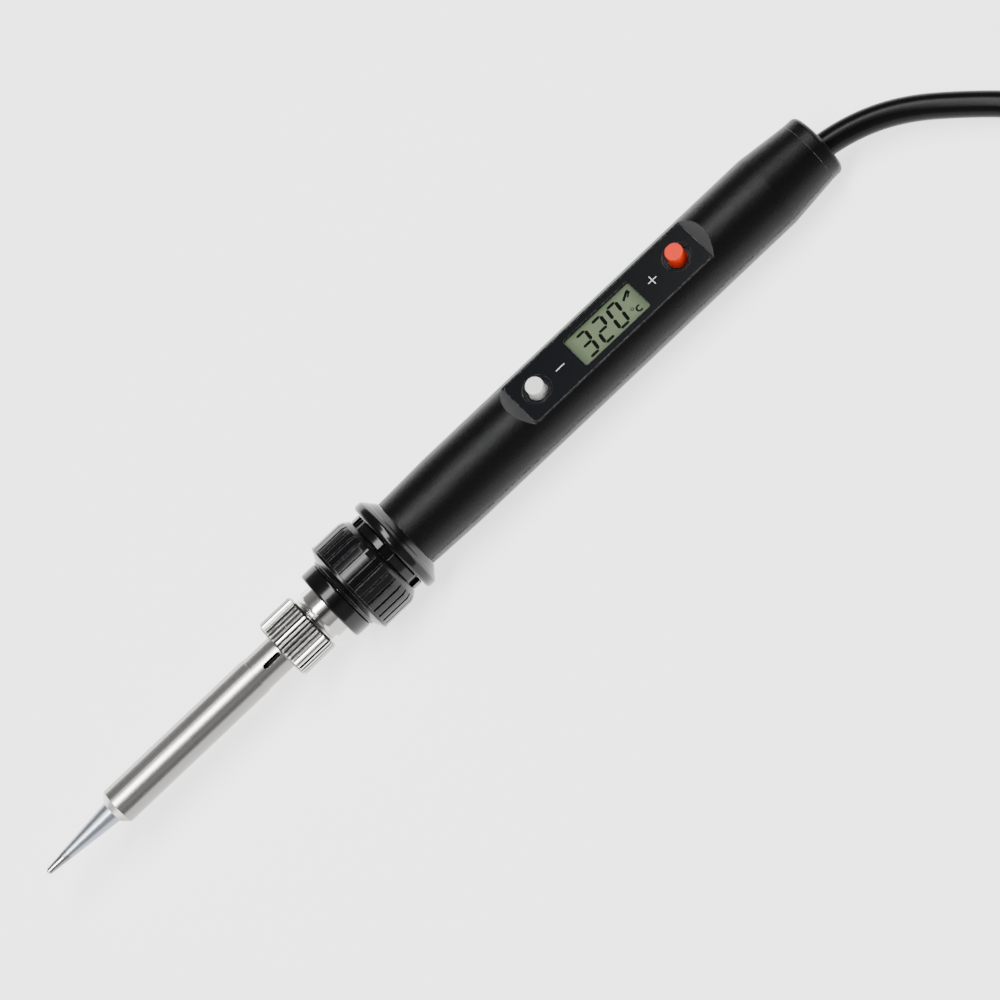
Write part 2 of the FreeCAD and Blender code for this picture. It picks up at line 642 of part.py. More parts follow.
def seam_rebate(body, lower):
    """A fine step along both outer edges of a shell's parting face."""
    def strips(sketch):
        for side in ("", "-"):
            closed_outline(sketch, [
                ("shell_front", f"{side}seam_front"), ("shell_full", f"{side}seam_half"),
                ("shell_taper", f"{side}seam_half"), ("shell_rear", f"{side}seam_rear"),
                ("shell_rear", f"{side}seam_over"), ("shell_front", f"{side}seam_over")])
    pocket(body, strips, "XY_Plane", None, "seam_height", reverse=not lower)


def screw_bosses(body, radius, reach, lower):
    """Two posts on the middle line for the screws that hold the shells together."""
    def posts(sketch):
        circle(sketch, "boss_front_x", "0", radius)
        circle(sketch, "boss_rear_x", "0", radius)
    pad(body, posts, "XY_Plane", at(z=-0.05 if lower else 0.05), reach, reverse=lower)


def upper_shell():
    """The half with the flat for the control panel."""
    body = shell_blank("upper_shell", lower=False)
    grooved(body, cavity_outline("cavity_radius", [("fill_front", "cavity_radius"),
                                                    ("fill_front", "0")]))
    grooved(body, [("fill_rear", "0"), ("fill_rear", "cavity_radius"),
                   ("cavity_taper", "cavity_radius"), ("shell_rear", "cavity_rear_radius"),
                   ("shell_rear", "0")])

    def hollow(sketch):
        """A half disc under the panel's deck."""
        height = SIZES["fill_underside"]
        half = math.sqrt(SIZES["cavity_radius"] ** 2 - height ** 2)
        start = math.atan2(height, half)
        radius = SIZES["cavity_radius"]
        disc = Part.Circle(Vector(), Vector(0, 0, 1), radius)
        sketch.addGeometry(Part.ArcOfCircle(disc, 0.0, start), False)
        sketch.addGeometry(Part.LineSegment(Vector(half, height, 0), Vector(-half, height, 0)), False)
        sketch.addGeometry(Part.ArcOfCircle(disc, math.pi - start, math.pi), False)
        sketch.addGeometry(Part.LineSegment(Vector(-radius, 0, 0), Vector(radius, 0, 0)), False)
        for first, a, second, b in ((0, 2, 1, 1), (1, 2, 2, 1), (2, 2, 3, 1), (3, 2, 0, 1),
                                    (0, 3, -1, 1), (2, 3, -1, 1)):
            sketch.addConstraint(Sketcher.Constraint("Coincident", first, a, second, b))
        sketch.addConstraint(Sketcher.Constraint("Horizontal", 1))
        sketch.addConstraint(Sketcher.Constraint("Horizontal", 3))
        sketch.addConstraint(Sketcher.Constraint("Equal", 0, 2))
        size = sketch.addConstraint(Sketcher.Constraint("Radius", 0, radius))
        bind(sketch, f"Constraints[{size}]", "cavity_radius")
        hold(sketch, 1, 1, "DistanceY", "fill_underside")

    pocket(body, hollow, "YZ_Plane", at(z=SIZES["fill_front"]), "fill_length", reverse=True)

    def recess(sketch):
        closed_outline(sketch, [
            ("ramp_front", "ramp_top"), ("flat_front", "flat_height"), ("flat_rear", "flat_height"),
            ("ramp_rear", "ramp_top")])

    pocket(body, recess, "XZ_Plane", None, "recess_width", middle=True)

    def bed(sketch):
        closed_outline(sketch, band(("bed_front", "bed_rear"), "bed_half"))

    pocket(body, bed, "XY_Plane", at(z=SIZES["bed_height"]), "bed_depth", reverse=True)
    corners = upright_at((SIZES["bed_front"], SIZES["bed_rear"]))
    dressed(body, "Fillet", "bed_corner", corners)

    def deck(sketch):
        closed_outline(sketch, band(("deck_window_front", "deck_window_rear"), "deck_window_half"))
        circle(sketch, "minus_x", "0", "deck_hole")
        circle(sketch, "plus_x", "0", "deck_hole")

    pocket(body, deck, "XY_Plane", at(z=SIZES["deck_floor"]), "deck_cut", reverse=True)
    screw_bosses(body, "upper_boss_radius", "boss_reach", lower=False)

    def bores(sketch):
        circle(sketch, "boss_front_x", "0", "screw_bore")
        circle(sketch, "boss_rear_x", "0", "screw_bore")

    pocket(body, bores, "XY_Plane", None, "screw_depth", reverse=True)
    seam_rebate(body, lower=False)
    return body


def lower_shell():
    """The plain half, with the screw posts, the ribs under the board and the clamp's posts."""
    body = shell_blank("lower_shell", lower=True)
    grooved(body, cavity_outline("cavity_radius", [
        ("cavity_taper", "cavity_radius"), ("shell_rear", "cavity_rear_radius"),
        ("shell_rear", "0")]))
    screw_bosses(body, "lower_boss_radius", "lower_boss_reach", lower=True)

    def ribs(sketch):
        for name in ("rib_front_x", "rib_rear_x"):
            closed_outline(sketch, band((name, f"{name}_end"), "rib_half"))

    pad(body, ribs, "XY_Plane", None, "rib_reach", reverse=True)

    def posts(sketch):
        circle(sketch, "clamp_x", "clamp_screw_y", "clamp_post_radius")
        circle(sketch, "clamp_x", "-clamp_screw_y", "clamp_post_radius")

    pad(body, posts, "XY_Plane", at(z=-SIZES["clamp_post_top"]), "clamp_post_length", reverse=True)

    def post_bores(sketch):
        circle(sketch, "clamp_x", "clamp_screw_y", "clamp_post_bore")
        circle(sketch, "clamp_x", "-clamp_screw_y", "clamp_post_bore")

    pocket(body, post_bores, "XY_Plane", None, "clamp_post_reach")

    def screw_holes(sketch):
        circle(sketch, "boss_front_x", "0", "screw_clear")
        circle(sketch, "boss_rear_x", "0", "screw_clear")

    pocket(body, screw_holes, "XY_Plane", None)

    def counterbores(sketch):
        circle(sketch, "boss_front_x", "0", "counterbore_radius")
        circle(sketch, "boss_rear_x", "0", "counterbore_radius")

    pocket(body, counterbores, "XY_Plane", at(z=-SIZES["counterbore_floor"]))
    seam_rebate(body, lower=True)
    return body


# ---------------------------------------------------------------- panel, display and board


def control_panel():
    """The plate with the display's window and a dished hole round each button."""
    body = new_body("control_panel")

    def plate(sketch):
        closed_outline(sketch, band(("plate_front", "plate_rear"), "plate_half"))

    pad(body, plate, "XY_Plane", at(z=SIZES["flat_height"]), "plate_thick", reverse=True)
    dressed(body, "Fillet", "plate_corner", upright_at((SIZES["plate_front"], SIZES["plate_rear"])))

    def window(sketch):
        closed_outline(sketch, band(("window_front", "window_rear"), "window_half"))

    pocket(body, window, "XY_Plane", at(z=SIZES["flat_height"]), None)
    dressed(body, "Fillet", "window_corner",
            upright_at((SIZES["window_front"], SIZES["window_rear"])))

    def dishes(sketch):
        circle(sketch, "minus_x", "0", "dish_radius")
        circle(sketch, "plus_x", "0", "dish_radius")

    pocket(body, dishes, "XY_Plane", at(z=SIZES["flat_height"]), "dish_depth")

    def holes(sketch):
        circle(sketch, "minus_x", "0", "button_hole")
        circle(sketch, "plus_x", "0", "button_hole")

    pocket(body, holes, "XY_Plane", at(z=SIZES["flat_height"]), None)
    return body


def display_lens():
    body = new_body("display_lens")

    def pane(sketch):
        closed_outline(sketch, band(("lens_front", "lens_rear"), "lens_half"))

    pad(body, pane, "XY_Plane", at(z=SIZES["lens_base"]), "lens_thick")
    dressed(body, "Fillet", "lens_corner", upright_at((SIZES["lens_front"], SIZES["lens_rear"])))
    return body


def plain_block(label, front, half, base, size):
    """A box centred on the middle line, from its front station, half width and underside."""
    return block(label, (SIZES[front], -SIZES[half], base), size)


def display_cell():
    return plain_block("display_cell", "cell_front", "cell_half", SIZES["cell_base"],
                       ("cell_length", "cell_width", "cell_thick"))


def display_holder():
    """The frame between the board and the display, open for the contact strips."""
    outer = plain_block("holder_blank", "holder_front", "holder_half", SIZES["holder_base"],
                        ("holder_length", "holder_width", "holder_thick"))
    opening = plain_block("holder_opening", "holder_open_front", "holder_open_half", 0,
                          ("holder_open_length", "holder_open_width", "flat_height"))
    tools = [opening]
    for sign, name in ((1, "left"), (-1, "right")):
        low = SIZES["strip_inner"] - SIZES["strip_gap"]
        corner = low if sign > 0 else -low - SIZES["strip_slot_width"]
        tools.append(block(f"holder_slot_{name}",
                           (SIZES["strip_front"] - SIZES["strip_gap"], corner, 0),
                           ("strip_slot_length", "strip_slot_width", "flat_height")))
    return cut_from("display_holder", outer, tools)


def contact_strips():
    """The two rubber strips that join the display to the board."""
    pieces = []
    for sign, name in ((1, "left"), (-1, "right")):
        low = SIZES["strip_inner"] if sign > 0 else -SIZES["strip_inner"] - SIZES["strip_width"]
        pieces.append(block(f"strip_{name}", (SIZES["strip_front"], low, SIZES["holder_base"]),
                            ("strip_length", "strip_width", "holder_thick")))
    return group("contact_strips", pieces)


def circuit_board():
    return plain_block("circuit_board", "board_front", "board_half", SIZES["board_base"],
                       ("board_length", "board_width", "board_thick"))


def push_switch(label, x):
    """The housing of a push switch, open on top for its plunger."""
    side, top = SIZES["switch_side"], SIZES["board_top"]
    housing = block(f"{label}_housing", (SIZES[x] - side / 2, -side / 2, top),
                    ("switch_side", "switch_side", "switch_height"))
    hole = rod(f"{label}_hole", "switch_hole", "flat_height",
               at(SIZES[x], 0, SIZES["switch_hole_floor"]))
    return cut_from(label, housing, [hole])


def plunger(label):
    return turned(label, [("0", "plunger_base"), ("plunger_radius", "plunger_base"),
                          ("plunger_radius", "plunger_top"), ("0", "plunger_top")], axis="V_Axis")


def button(label, top):
    """A push button: a round stem with a flange that stays under the deck."""
    body = turned(label, [
        ("0", "button_base"), ("button_flange_radius", "button_base"),
        ("button_flange_radius", "button_flange_top"), ("button_radius", "button_flange_top"),
        ("button_radius", top), ("0", top)], axis="V_Axis")
    dressed(body, "Fillet", "button_round",
            lambda edge: near(edge.BoundBox.ZMin, SIZES[top]) and near(edge.BoundBox.ZMax, SIZES[top]))
    return body


def controller_chip():
    low = SIZES["board_base"] - SIZES["chip_thick"]
    return block("controller_chip", (SIZES["chip_front"], -SIZES["chip_side"] / 2, low),
                 ("chip_side", "chip_side", "chip_thick"))


def power_triac():
    return block("power_triac",
                 (SIZES["triac_front"], -SIZES["triac_width"] / 2, SIZES["board_top"]),
                 ("triac_length", "triac_width", "triac_height"))


def film_capacitor():
    low = SIZES["board_base"] - SIZES["film_height"]
    return block("film_capacitor", (SIZES["film_front"], -SIZES["film_width"] / 2, low),
                 ("film_length", "film_width", "film_height"))


def lying_rod(label, front, z, radius, length):
    """A cylinder along the X axis."""
    placement = Placement(Vector(SIZES[front], 0, z), Rotation(Vector(0, 1, 0), 90))
    return rod(label, radius, length, placement)


def can_capacitor():
    return lying_rod("can_capacitor", "can_front", SIZES["board_base"] - SIZES["can_radius"],
                     "can_radius", "can_length")


def board_fuse():
    return lying_rod("board_fuse", "fuse_front", SIZES["board_top"] + SIZES["fuse_radius"],
                     "fuse_radius", "fuse_length")


# ---------------------------------------------------------------- screws, rear end and wires


def screw(label, head, shank, low, head_top, tip, recess, where):
    """A screw along Z with a cross recess in its lower or upper head."""
    body = turned(label, [("0", low), (head, low), (head, head_top), (shank, head_top),
                          (shank, tip), ("0", tip)], axis="V_Axis")
    long, wide, deep = (SIZES[name] for name in recess)
    for turn in (0, 1):
        length, width = (long, wide) if turn else (wide, long)
        sketch = new_sketch(body, "XY_Plane", at(z=number(low)))
        corners = [Vector(-length / 2, -width / 2, 0), Vector(length / 2, -width / 2, 0),
                   Vector(length / 2, width / 2, 0), Vector(-length / 2, width / 2, 0)]
        for here, there in zip(corners, corners[1:] + corners[:1]):
            sketch.addGeometry(Part.LineSegment(here, there), False)
        cut = feature(body, "Pocket", sketch, Length=deep, Reversed=number(low) < number(tip))
        must_cut(body, cut)
    body.Placement = where
    return body


def shell_screws():
    """The two screws that hold the shells together, heads downwards."""
    recess = ("screw_recess_long", "screw_recess_wide", "screw_recess_deep")
    return group("shell_screws", [
        screw(f"shell_screw_{name}", "screw_head_radius", "screw_radius", "-screw_head_low",
              "-screw_head_top", "screw_tip", recess, at(x=SIZES[name]))
        for name in ("boss_front_x", "boss_rear_x")])


def clamp_screws():
    """The two screws of the cord clamp, heads upwards."""
    recess = ("clamp_recess_long", "clamp_recess_wide", "clamp_recess_deep")
    return group("clamp_screws", [
        screw(f"clamp_screw_{index}", "clamp_screw_head_radius", "clamp_screw_radius",
              "clamp_screw_top", "clamp_top", "-clamp_screw_low", recess,
              at(SIZES["clamp_x"], sign * SIZES["clamp_screw_y"], 0))
        for index, sign in enumerate((1, -1))])


def rear_cap():
    """The ring that closes the handle and holds the two shells together."""
    body = turned("rear_cap", [
        ("cap_sleeve_front", "cap_bore"), ("cap_sleeve_front", "cap_sleeve_radius"),
        ("cap_front", "cap_sleeve_radius"), ("cap_front", "cap_radius"),
        ("cap_rear", "cap_rear_radius"), ("cap_rear", "cap_bore")])
    dressed(body, "Fillet", "cap_round", ring_at(SIZES["cap_rear"], SIZES["cap_rear_radius"]))
    return body


def cord_grommet():
    """The rubber bush round the cord, with a mouth that opens outwards."""
    return turned("cord_grommet", [
        ("grommet_front", "grommet_bore"), ("grommet_front", "grommet_radius"),
        ("grommet_rear", "grommet_radius"), ("grommet_rear", "grommet_mouth")])


def cord_clamp():
    """The block that grips the cord inside the handle."""
    blank = plain_block("clamp_blank", "clamp_front", "clamp_half", -SIZES["clamp_low"],
                        ("clamp_length", "clamp_width", "clamp_height"))
    tools = [lying_rod("clamp_passage", "clamp_front", 0, "clamp_bore", "clamp_length")]
    for index, sign in enumerate((1, -1)):
        where = at(SIZES["clamp_x"], sign * SIZES["clamp_screw_y"], -SIZES["clamp_low"])
        tools.append(rod(f"clamp_hole_{index}", "clamp_hole", "clamp_height", where))
    return cut_from("cord_clamp", blank, tools)


def heater_leads():
    """Four leads from the heater to the front edge of the board, two past each side of the post."""
    front, edge = SIZES["heater_rear"], SIZES["board_front"]
    height = SIZES["board_base"] + SIZES["board_thick"] / 2
    routes = [(0.5, 2.9), (1.35, 4.3), (-0.5, -2.9), (-1.35, -4.3)]
    return group("heater_leads", [
        tube(f"heater_lead_{index}", [
            (front, near_axis, 0), (front + 15.5, near_axis, 0.1), (edge - 8, spread, height),
            (edge, spread + 0.01, height)], SIZES["lead_radius"])
        for index, (near_axis, spread) in enumerate(routes)])


def mains_leads():
    """The cord's two cores, from where its sheath ends to the rear edge of the board."""
    end, edge = SIZES["cord_start"], SIZES["board_rear"]
    height = SIZES["board_base"] + SIZES["board_thick"] / 2
    return group("mains_leads", [
        tube(f"mains_lead_{index}", [
            (end, sign * 1.3, 0), (end - 3, sign * 1.9, 0.4), (end - 6.6, sign * 4.0, height),
            (edge, sign * 4.3, height + 0.01)], SIZES["mains_lead_radius"])
        for index, sign in enumerate((1, -1))])


# ---------------------------------------------------------------- cord and plug, on the table

CORD_ROUTE = [
    (94.4, 0.0, 8.93), (104.5, -0.3, 8.5), (117.0, -1.6, 7.7), (128.8, -6.7, 6.5),
    (139.8, -16.8, 5.0), (148.9, -27.2, 3.9), (159.8, -36.5, 3.45), (173.5, -41.6, 3.4),
    (188.0, -42.1, 3.4)]
TAIL_ROUTE = [
    (290.0, -15.0, 9.4), (285.0, -3.0, 10.8), (275.0, 4.5, 13.0), (262.5, 5.4, 15.8),
    (250.2, 2.4, 18.2), (238.8, -1.3, 19.5)]
PLUG_HEADING = 197.0


def cord_hank():
    """The outer shape of the tied hank: two round folds and a waist drawn in by the tie."""
    left, right, middle = SIZES["hank_left"], SIZES["hank_right"], SIZES["hank_y"]
    fold, lift = SIZES["hank_fold"], SIZES["hank_lift"]
    centre_x, half_gap = (left + right) / 2, (right - left) / 2
    waist = (half_gap ** 2 + SIZES["hank_waist"] ** 2 - fold ** 2) / (2 * (fold - SIZES["hank_waist"]))
    offset = SIZES["hank_waist"] + waist
    share = fold / (fold + waist)
    joint_x, joint_y = half_gap * (1 - share), offset * share
    folds = [rod(f"fold_{name}", "hank_fold", "hank_height", at(x, middle, lift))
             for name, x in (("left", left), ("right", right))]
    bridge = doc.addObject("Part::Box", "hank_bridge")
    bridge.Length, bridge.Width = 2 * joint_x, 2 * joint_y
    bind(bridge, "Height", "hank_height")
    bridge.Placement = at(centre_x - joint_x, middle - joint_y, lift)
    hollows = []
    for index, sign in enumerate((1, -1)):
        hollow = doc.addObject("Part::Cylinder", f"waist_{index}")
        hollow.Radius = waist
        bind(hollow, "Height", "hank_height")
        hollow.Placement = at(centre_x, middle + sign * offset, lift)
        hollows.append(hollow)
    bridge = cut_from("hank_bridge", bridge, hollows)
    whole = doc.addObject("Part::MultiFuse", "cord_hank")
    whole.Shapes = [*folds, bridge]
    whole.Refine = True
    return whole


def cord_tie():
    """A flat strap round the hank's waist."""
    body = new_body("cord_tie")

    def strap(sketch):
        closed_outline(sketch, band(("0", "tie_outer_height"), "tie_outer_half"))

    pad(body, strap, "XZ_Plane", None, "tie_width", middle=True)
    dressed(body, "Fillet", "tie_round", lambda edge: near(edge.Length, SIZES["tie_width"]))

    def bundle(sketch):
        closed_outline(sketch, band(("tie_thick", "tie_inner_top"), "tie_half"))

    pocket(body, bundle, "XZ_Plane", None, "tie_through", middle=True)
    return body


def plug_body():
    """The flat moulded body of a two-pin plug; its pins point along +X."""
    body = new_body("plug_body")

    def top_view(sketch):
        closed_outline(sketch, [
            ("0", "-plug_rear_half"), ("plug_shoulder", "-plug_half"), ("plug_length", "-plug_half"),
            ("plug_length", "plug_half"), ("plug_shoulder", "plug_half"), ("0", "plug_rear_half")])

    pad(body, top_view, "XY_Plane", None, "plug_thick", middle=True)
    dressed(body, "Fillet", "plug_corner",
            upright_at((0, SIZES["plug_shoulder"], SIZES["plug_length"])))
    dressed(body, "Fillet", "plug_edge", lambda edge: edge.BoundBox.ZLength < 0.01)

    def pin_holes(sketch):
        circle(sketch, "pin_offset", "0", "pin_core_radius")
        circle(sketch, "-pin_offset", "0", "pin_core_radius")

    pocket(body, pin_holes, "YZ_Plane", at(z=SIZES["plug_length"]), "pin_root")
    return body


def pin_at(sign, x):
    return at(x, sign * SIZES["pin_offset"], 0)


def plug_pins():
    """Two round pins, thinner where their sleeves are."""
    pieces = []
    for index, sign in enumerate((1, -1)):
        body = turned(f"plug_pin_{index}", [
            ("0", "0"), ("0", "pin_core_radius"), ("pin_neck", "pin_core_radius"),
            ("pin_neck", "pin_radius"), ("pin_end", "pin_radius"), ("pin_end", "0")])
        dressed(body, "Fillet", "pin_round", ring_at(SIZES["pin_end"], SIZES["pin_radius"]))
        body.Placement = pin_at(sign, SIZES["plug_length"] - SIZES["pin_root"])
        pieces.append(body)
    return group("plug_pins", pieces)


def pin_sleeves():
    pieces = []
    for index, sign in enumerate((1, -1)):
        body = turned(f"pin_sleeve_{index}", [
            ("0", "pin_core_radius"), ("0", "pin_sleeve_radius"),
            ("pin_sleeve_length", "pin_sleeve_radius"), ("pin_sleeve_length", "pin_core_radius")])
        body.Placement = pin_at(sign, SIZES["plug_length"])
        pieces.append(body)
    return group("pin_sleeves", pieces)


def plug_relief():
    """The tapered, grooved strain relief behind the plug."""
    body = turned("plug_relief", [
        ("0", "relief_bore"), ("0", "relief_end_radius"), ("relief_length", "relief_root_radius"),
        ("relief_length", "relief_bore")])
    cut = grooved(body, [("relief_groove_first", "relief_groove_root"),
                         ("relief_groove_end", "relief_groove_root"),
                         ("relief_groove_end", "relief_groove_over"),
                         ("relief_groove_first", "relief_groove_over")])
    along(body, cut, "relief_groove_count", "relief_groove_span")
    return body


# ---------------------------------------------------------------- sizes that follow from others


def work_out_sizes():
    size = SIZES
    size.update({
        "nut_over": size["nut_radius"] + 0.6,
        "groove_over": size["collar_lip_radius"] + 0.4,
        "sleeve_thread_a": size["sleeve_front"] + 0.25,
        "sleeve_thread_b": size["sleeve_front"] + 0.25 + size["thread_half"],
        "sleeve_thread_c": size["sleeve_front"] + 0.25 + 2 * size["thread_half"],
        "sleeve_thread_root": size["sleeve_thread_radius"] - size["thread_depth"],
        "sleeve_thread_over": size["sleeve_thread_radius"] + 0.01,
        "neck_thread_a": size["neck_thread_first"],
        "neck_thread_b": size["neck_thread_first"] + size["thread_half"],
        "neck_thread_c": size["neck_thread_first"] + 2 * size["thread_half"],
        "neck_thread_root": size["neck_thread_radius"] - 2 * size["thread_depth"],
        "neck_thread_over": size["neck_thread_radius"] + 0.01,
        "notch_over": size["neck_ring_radius"] + 0.5,
        "neck_ring_width": size["neck_ring_rear"] - size["neck_ring_front"],
        "seam_front": size["shell_front_radius"] - size["seam_depth"],
        "seam_half": size["shell_radius"] - size["seam_depth"],
        "seam_rear": size["shell_rear_radius"] - size["seam_depth"],
        "seam_over": size["shell_radius"] + 1,
        "fill_length": size["fill_rear"] - size["fill_front"],
        "recess_width": 4 * size["bed_half"],
        "bed_depth": size["flat_height"] - size["bed_height"] + 3,
        "deck_window_rear": size["deck_window_front"] + size["deck_window_length"],
        "deck_cut": size["bed_height"] - size["deck_floor"] + 0.01,
        "rib_front_x_end": size["rib_front_x"] + size["rib_thick"],
        "rib_rear_x_end": size["rib_rear_x"] + size["rib_thick"],
        "clamp_post_length": size["clamp_post_reach"] - size["clamp_post_top"],
        "plate_rear": size["plate_front"] + size["plate_length"],
        "window_rear": size["window_front"] + size["window_length"],
        "lens_rear": size["lens_front"] + size["lens_length"],
        "cell_width": 2 * size["cell_half"],
        "holder_width": 2 * size["holder_half"],
        "holder_open_width": 2 * size["holder_open_half"],
        "strip_slot_width": size["strip_width"] + 2 * size["strip_gap"],
        "strip_slot_length": size["strip_length"] + 2 * size["strip_gap"],
        "board_width": 2 * size["board_half"],
        "board_top": size["board_base"] + size["board_thick"],
        "board_rear": size["board_front"] + size["board_length"],
        "clamp_width": 2 * size["clamp_half"],
        "clamp_top": size["clamp_height"] - size["clamp_low"],
        "clamp_screw_top": size["clamp_height"] - size["clamp_low"] + size["clamp_screw_head"],
        "clamp_hole": size["clamp_screw_radius"] + 0.05,
        "clamp_recess_long": 1.2, "clamp_recess_wide": 0.3, "clamp_recess_deep": 0.35,
        "cord_start": size["clamp_front"] - 1.45,
        "tie_outer_half": size["tie_half"] + size["tie_thick"],
        "tie_outer_height": size["hank_height"] + 2 * size["tie_thick"] + 0.05,
        "tie_inner_top": size["hank_height"] + size["tie_thick"] + 0.05,
        "tie_through": size["tie_width"] + 2,
        "pin_offset": size["pin_spacing"] / 2,
        "pin_neck": size["pin_root"] + size["pin_sleeve_length"],
        "pin_end": size["pin_root"] + size["pin_length"],
        "relief_groove_end": size["relief_groove_first"] + size["relief_groove_width"],
        "relief_groove_root": size["relief_end_radius"] - 0.35,
        "relief_groove_over": size["relief_root_radius"] + 1,
        "relief_groove_span": size["relief_groove_pitch"] * (size["relief_groove_count"] - 1),
    })
    rest_on_table()


# ---------------------------------------------------------------- assembly


def lying_placement():
    """Where the iron's own frame is on the table."""
    turn = Rotation(Vector(0, 1, 0), SIZES["rest_tilt"])
    return Placement(Vector(SIZES["rest_shift"], 0, SIZES["rest_lift"]), turn)


def plug_placement():
    """The plug's frame: its strain relief starts where the cord's tail ends."""
    turn = Rotation(Vector(0, 0, 1), PLUG_HEADING)
    back = turn.multVec(Vector(SIZES["relief_length"], 0, 0))
    return Placement(Vector(*TAIL_ROUTE[-1]) + back, turn)


def build():
    work_out_sizes()
    make_sheet()
    lying = lying_placement()
    iron_parts = [
        soldering_tip, barrel_tube, barrel_nut, threaded_sleeve, heater_element, heater_collar,
        stopper_ring, clamp_collar, threaded_neck, finger_guard, upper_shell, lower_shell,
        control_panel, display_lens, display_cell, display_holder, contact_strips, circuit_board,
        controller_chip, power_triac, film_capacitor, can_capacitor, board_fuse, shell_screws,
        clamp_screws, rear_cap, cord_grommet, cord_clamp, heater_leads, mains_leads]
    for make in iron_parts:
        item = make()
        keep(item, make.__name__, lying.multiply(item.Placement))
    for side, x, top in (("minus", "minus_x", "minus_top"), ("plus", "plus_x", "plus_top")):
        place = lying.multiply(at(x=SIZES[x]))
        keep(push_switch(f"{side}_switch", x), f"{side}_switch", lying)
        keep(plunger(f"{side}_plunger"), f"{side}_plunger", place)
        keep(button(f"{side}_button", top), f"{side}_button", place)

    keep(tube("power_cord", CORD_ROUTE, SIZES["cord_radius"]), "power_cord", Placement())
    keep(tube("cord_tail", TAIL_ROUTE, SIZES["cord_radius"]), "cord_tail", Placement())
    keep(cord_hank(), "cord_hank", Placement())
    middle = (SIZES["hank_left"] + SIZES["hank_right"]) / 2
    upright = Rotation(Vector(0, 0, 1), 90).multiply(Rotation(Vector(0, 1, 0), -90))
    tie_z = SIZES["hank_lift"] - SIZES["tie_thick"] - 0.02
    keep(cord_tie(), "cord_tie", Placement(Vector(middle, SIZES["hank_y"], tie_z), upright))
    plug = plug_placement()
    for make in (plug_body, plug_pins, pin_sleeves):
        keep(make(), make.__name__, plug)
    relief = Placement(Vector(-SIZES["relief_length"], 0, 0), Rotation())
    keep(plug_relief(), "plug_relief", plug.multiply(relief))


def check_and_write():
    """Stops on any failed object, then writes one STEP file for each sub-part."""
    doc.recompute()
    for item in doc.Objects:
        if "Invalid" in item.State or "Error" in item.State:
            raise RuntimeError(f"{item.Name} failed to compute: {item.State}")
    os.makedirs("parts", exist_ok=True)
    for item in sub_parts:
        shape = item.Shape
        if shape.isNull() or not shape.isValid() or not shape.Solids:
            raise RuntimeError(f"{item.Label} has no valid solid")
        shape.exportStep(f"parts/{item.Label}.step")
    print(f"{len(sub_parts)} sub-parts written")


build()
check_and_write()
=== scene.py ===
"""Looks of the soldering iron: camera and light, the cord's smooth line, print, display, materials."""

import json
import math

import bmesh
import bpy
from mathutils import Matrix, Vector


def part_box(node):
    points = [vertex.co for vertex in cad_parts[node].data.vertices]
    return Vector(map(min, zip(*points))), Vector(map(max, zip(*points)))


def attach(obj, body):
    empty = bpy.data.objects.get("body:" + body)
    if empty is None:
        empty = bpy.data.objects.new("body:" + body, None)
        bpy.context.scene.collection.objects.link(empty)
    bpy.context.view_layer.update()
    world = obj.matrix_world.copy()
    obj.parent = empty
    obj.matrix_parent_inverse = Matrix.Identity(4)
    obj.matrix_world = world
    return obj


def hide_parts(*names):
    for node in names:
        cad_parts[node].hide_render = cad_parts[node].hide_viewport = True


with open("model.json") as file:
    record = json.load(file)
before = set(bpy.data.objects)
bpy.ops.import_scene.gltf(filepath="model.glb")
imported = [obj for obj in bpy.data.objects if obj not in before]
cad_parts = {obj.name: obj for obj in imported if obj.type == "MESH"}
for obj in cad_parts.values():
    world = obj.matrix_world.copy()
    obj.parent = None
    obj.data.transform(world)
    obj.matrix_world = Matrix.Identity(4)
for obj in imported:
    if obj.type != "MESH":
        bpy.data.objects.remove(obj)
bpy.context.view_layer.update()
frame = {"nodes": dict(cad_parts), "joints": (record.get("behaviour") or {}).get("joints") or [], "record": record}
MM = 0.001

# ---------------------------------------------------------------- the iron's own axes


def joint(name):
    return next(item for item in frame["joints"] if item["name"] == name)


REAR = -Vector(joint("cartridge_slide")["axis"])    # from the tip towards the cord
FACE = -Vector(joint("minus_press")["axis"])        # out of the control panel
SIDE = FACE.cross(REAR)                             # across the iron
AXIS_POINT = Vector(joint("collar_turn")["pos_m"])
TIP_END = AXIS_POINT + REAR * (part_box("soldering_tip")[0].x - AXIS_POINT.x) / REAR.x


def place(x, y, z):
    """A point of the iron, in mm from the end of its tip, in the frame's metres."""
    return TIP_END + (REAR * x + SIDE * y + FACE * z) * MM


def top_of(node):
    """The highest level of a node above the iron's axis, in mm."""
    mesh = frame["nodes"][node].data
    return max((vertex.co - TIP_END).dot(FACE) for vertex in mesh.vertices) / MM


# ---------------------------------------------------------------- node building blocks


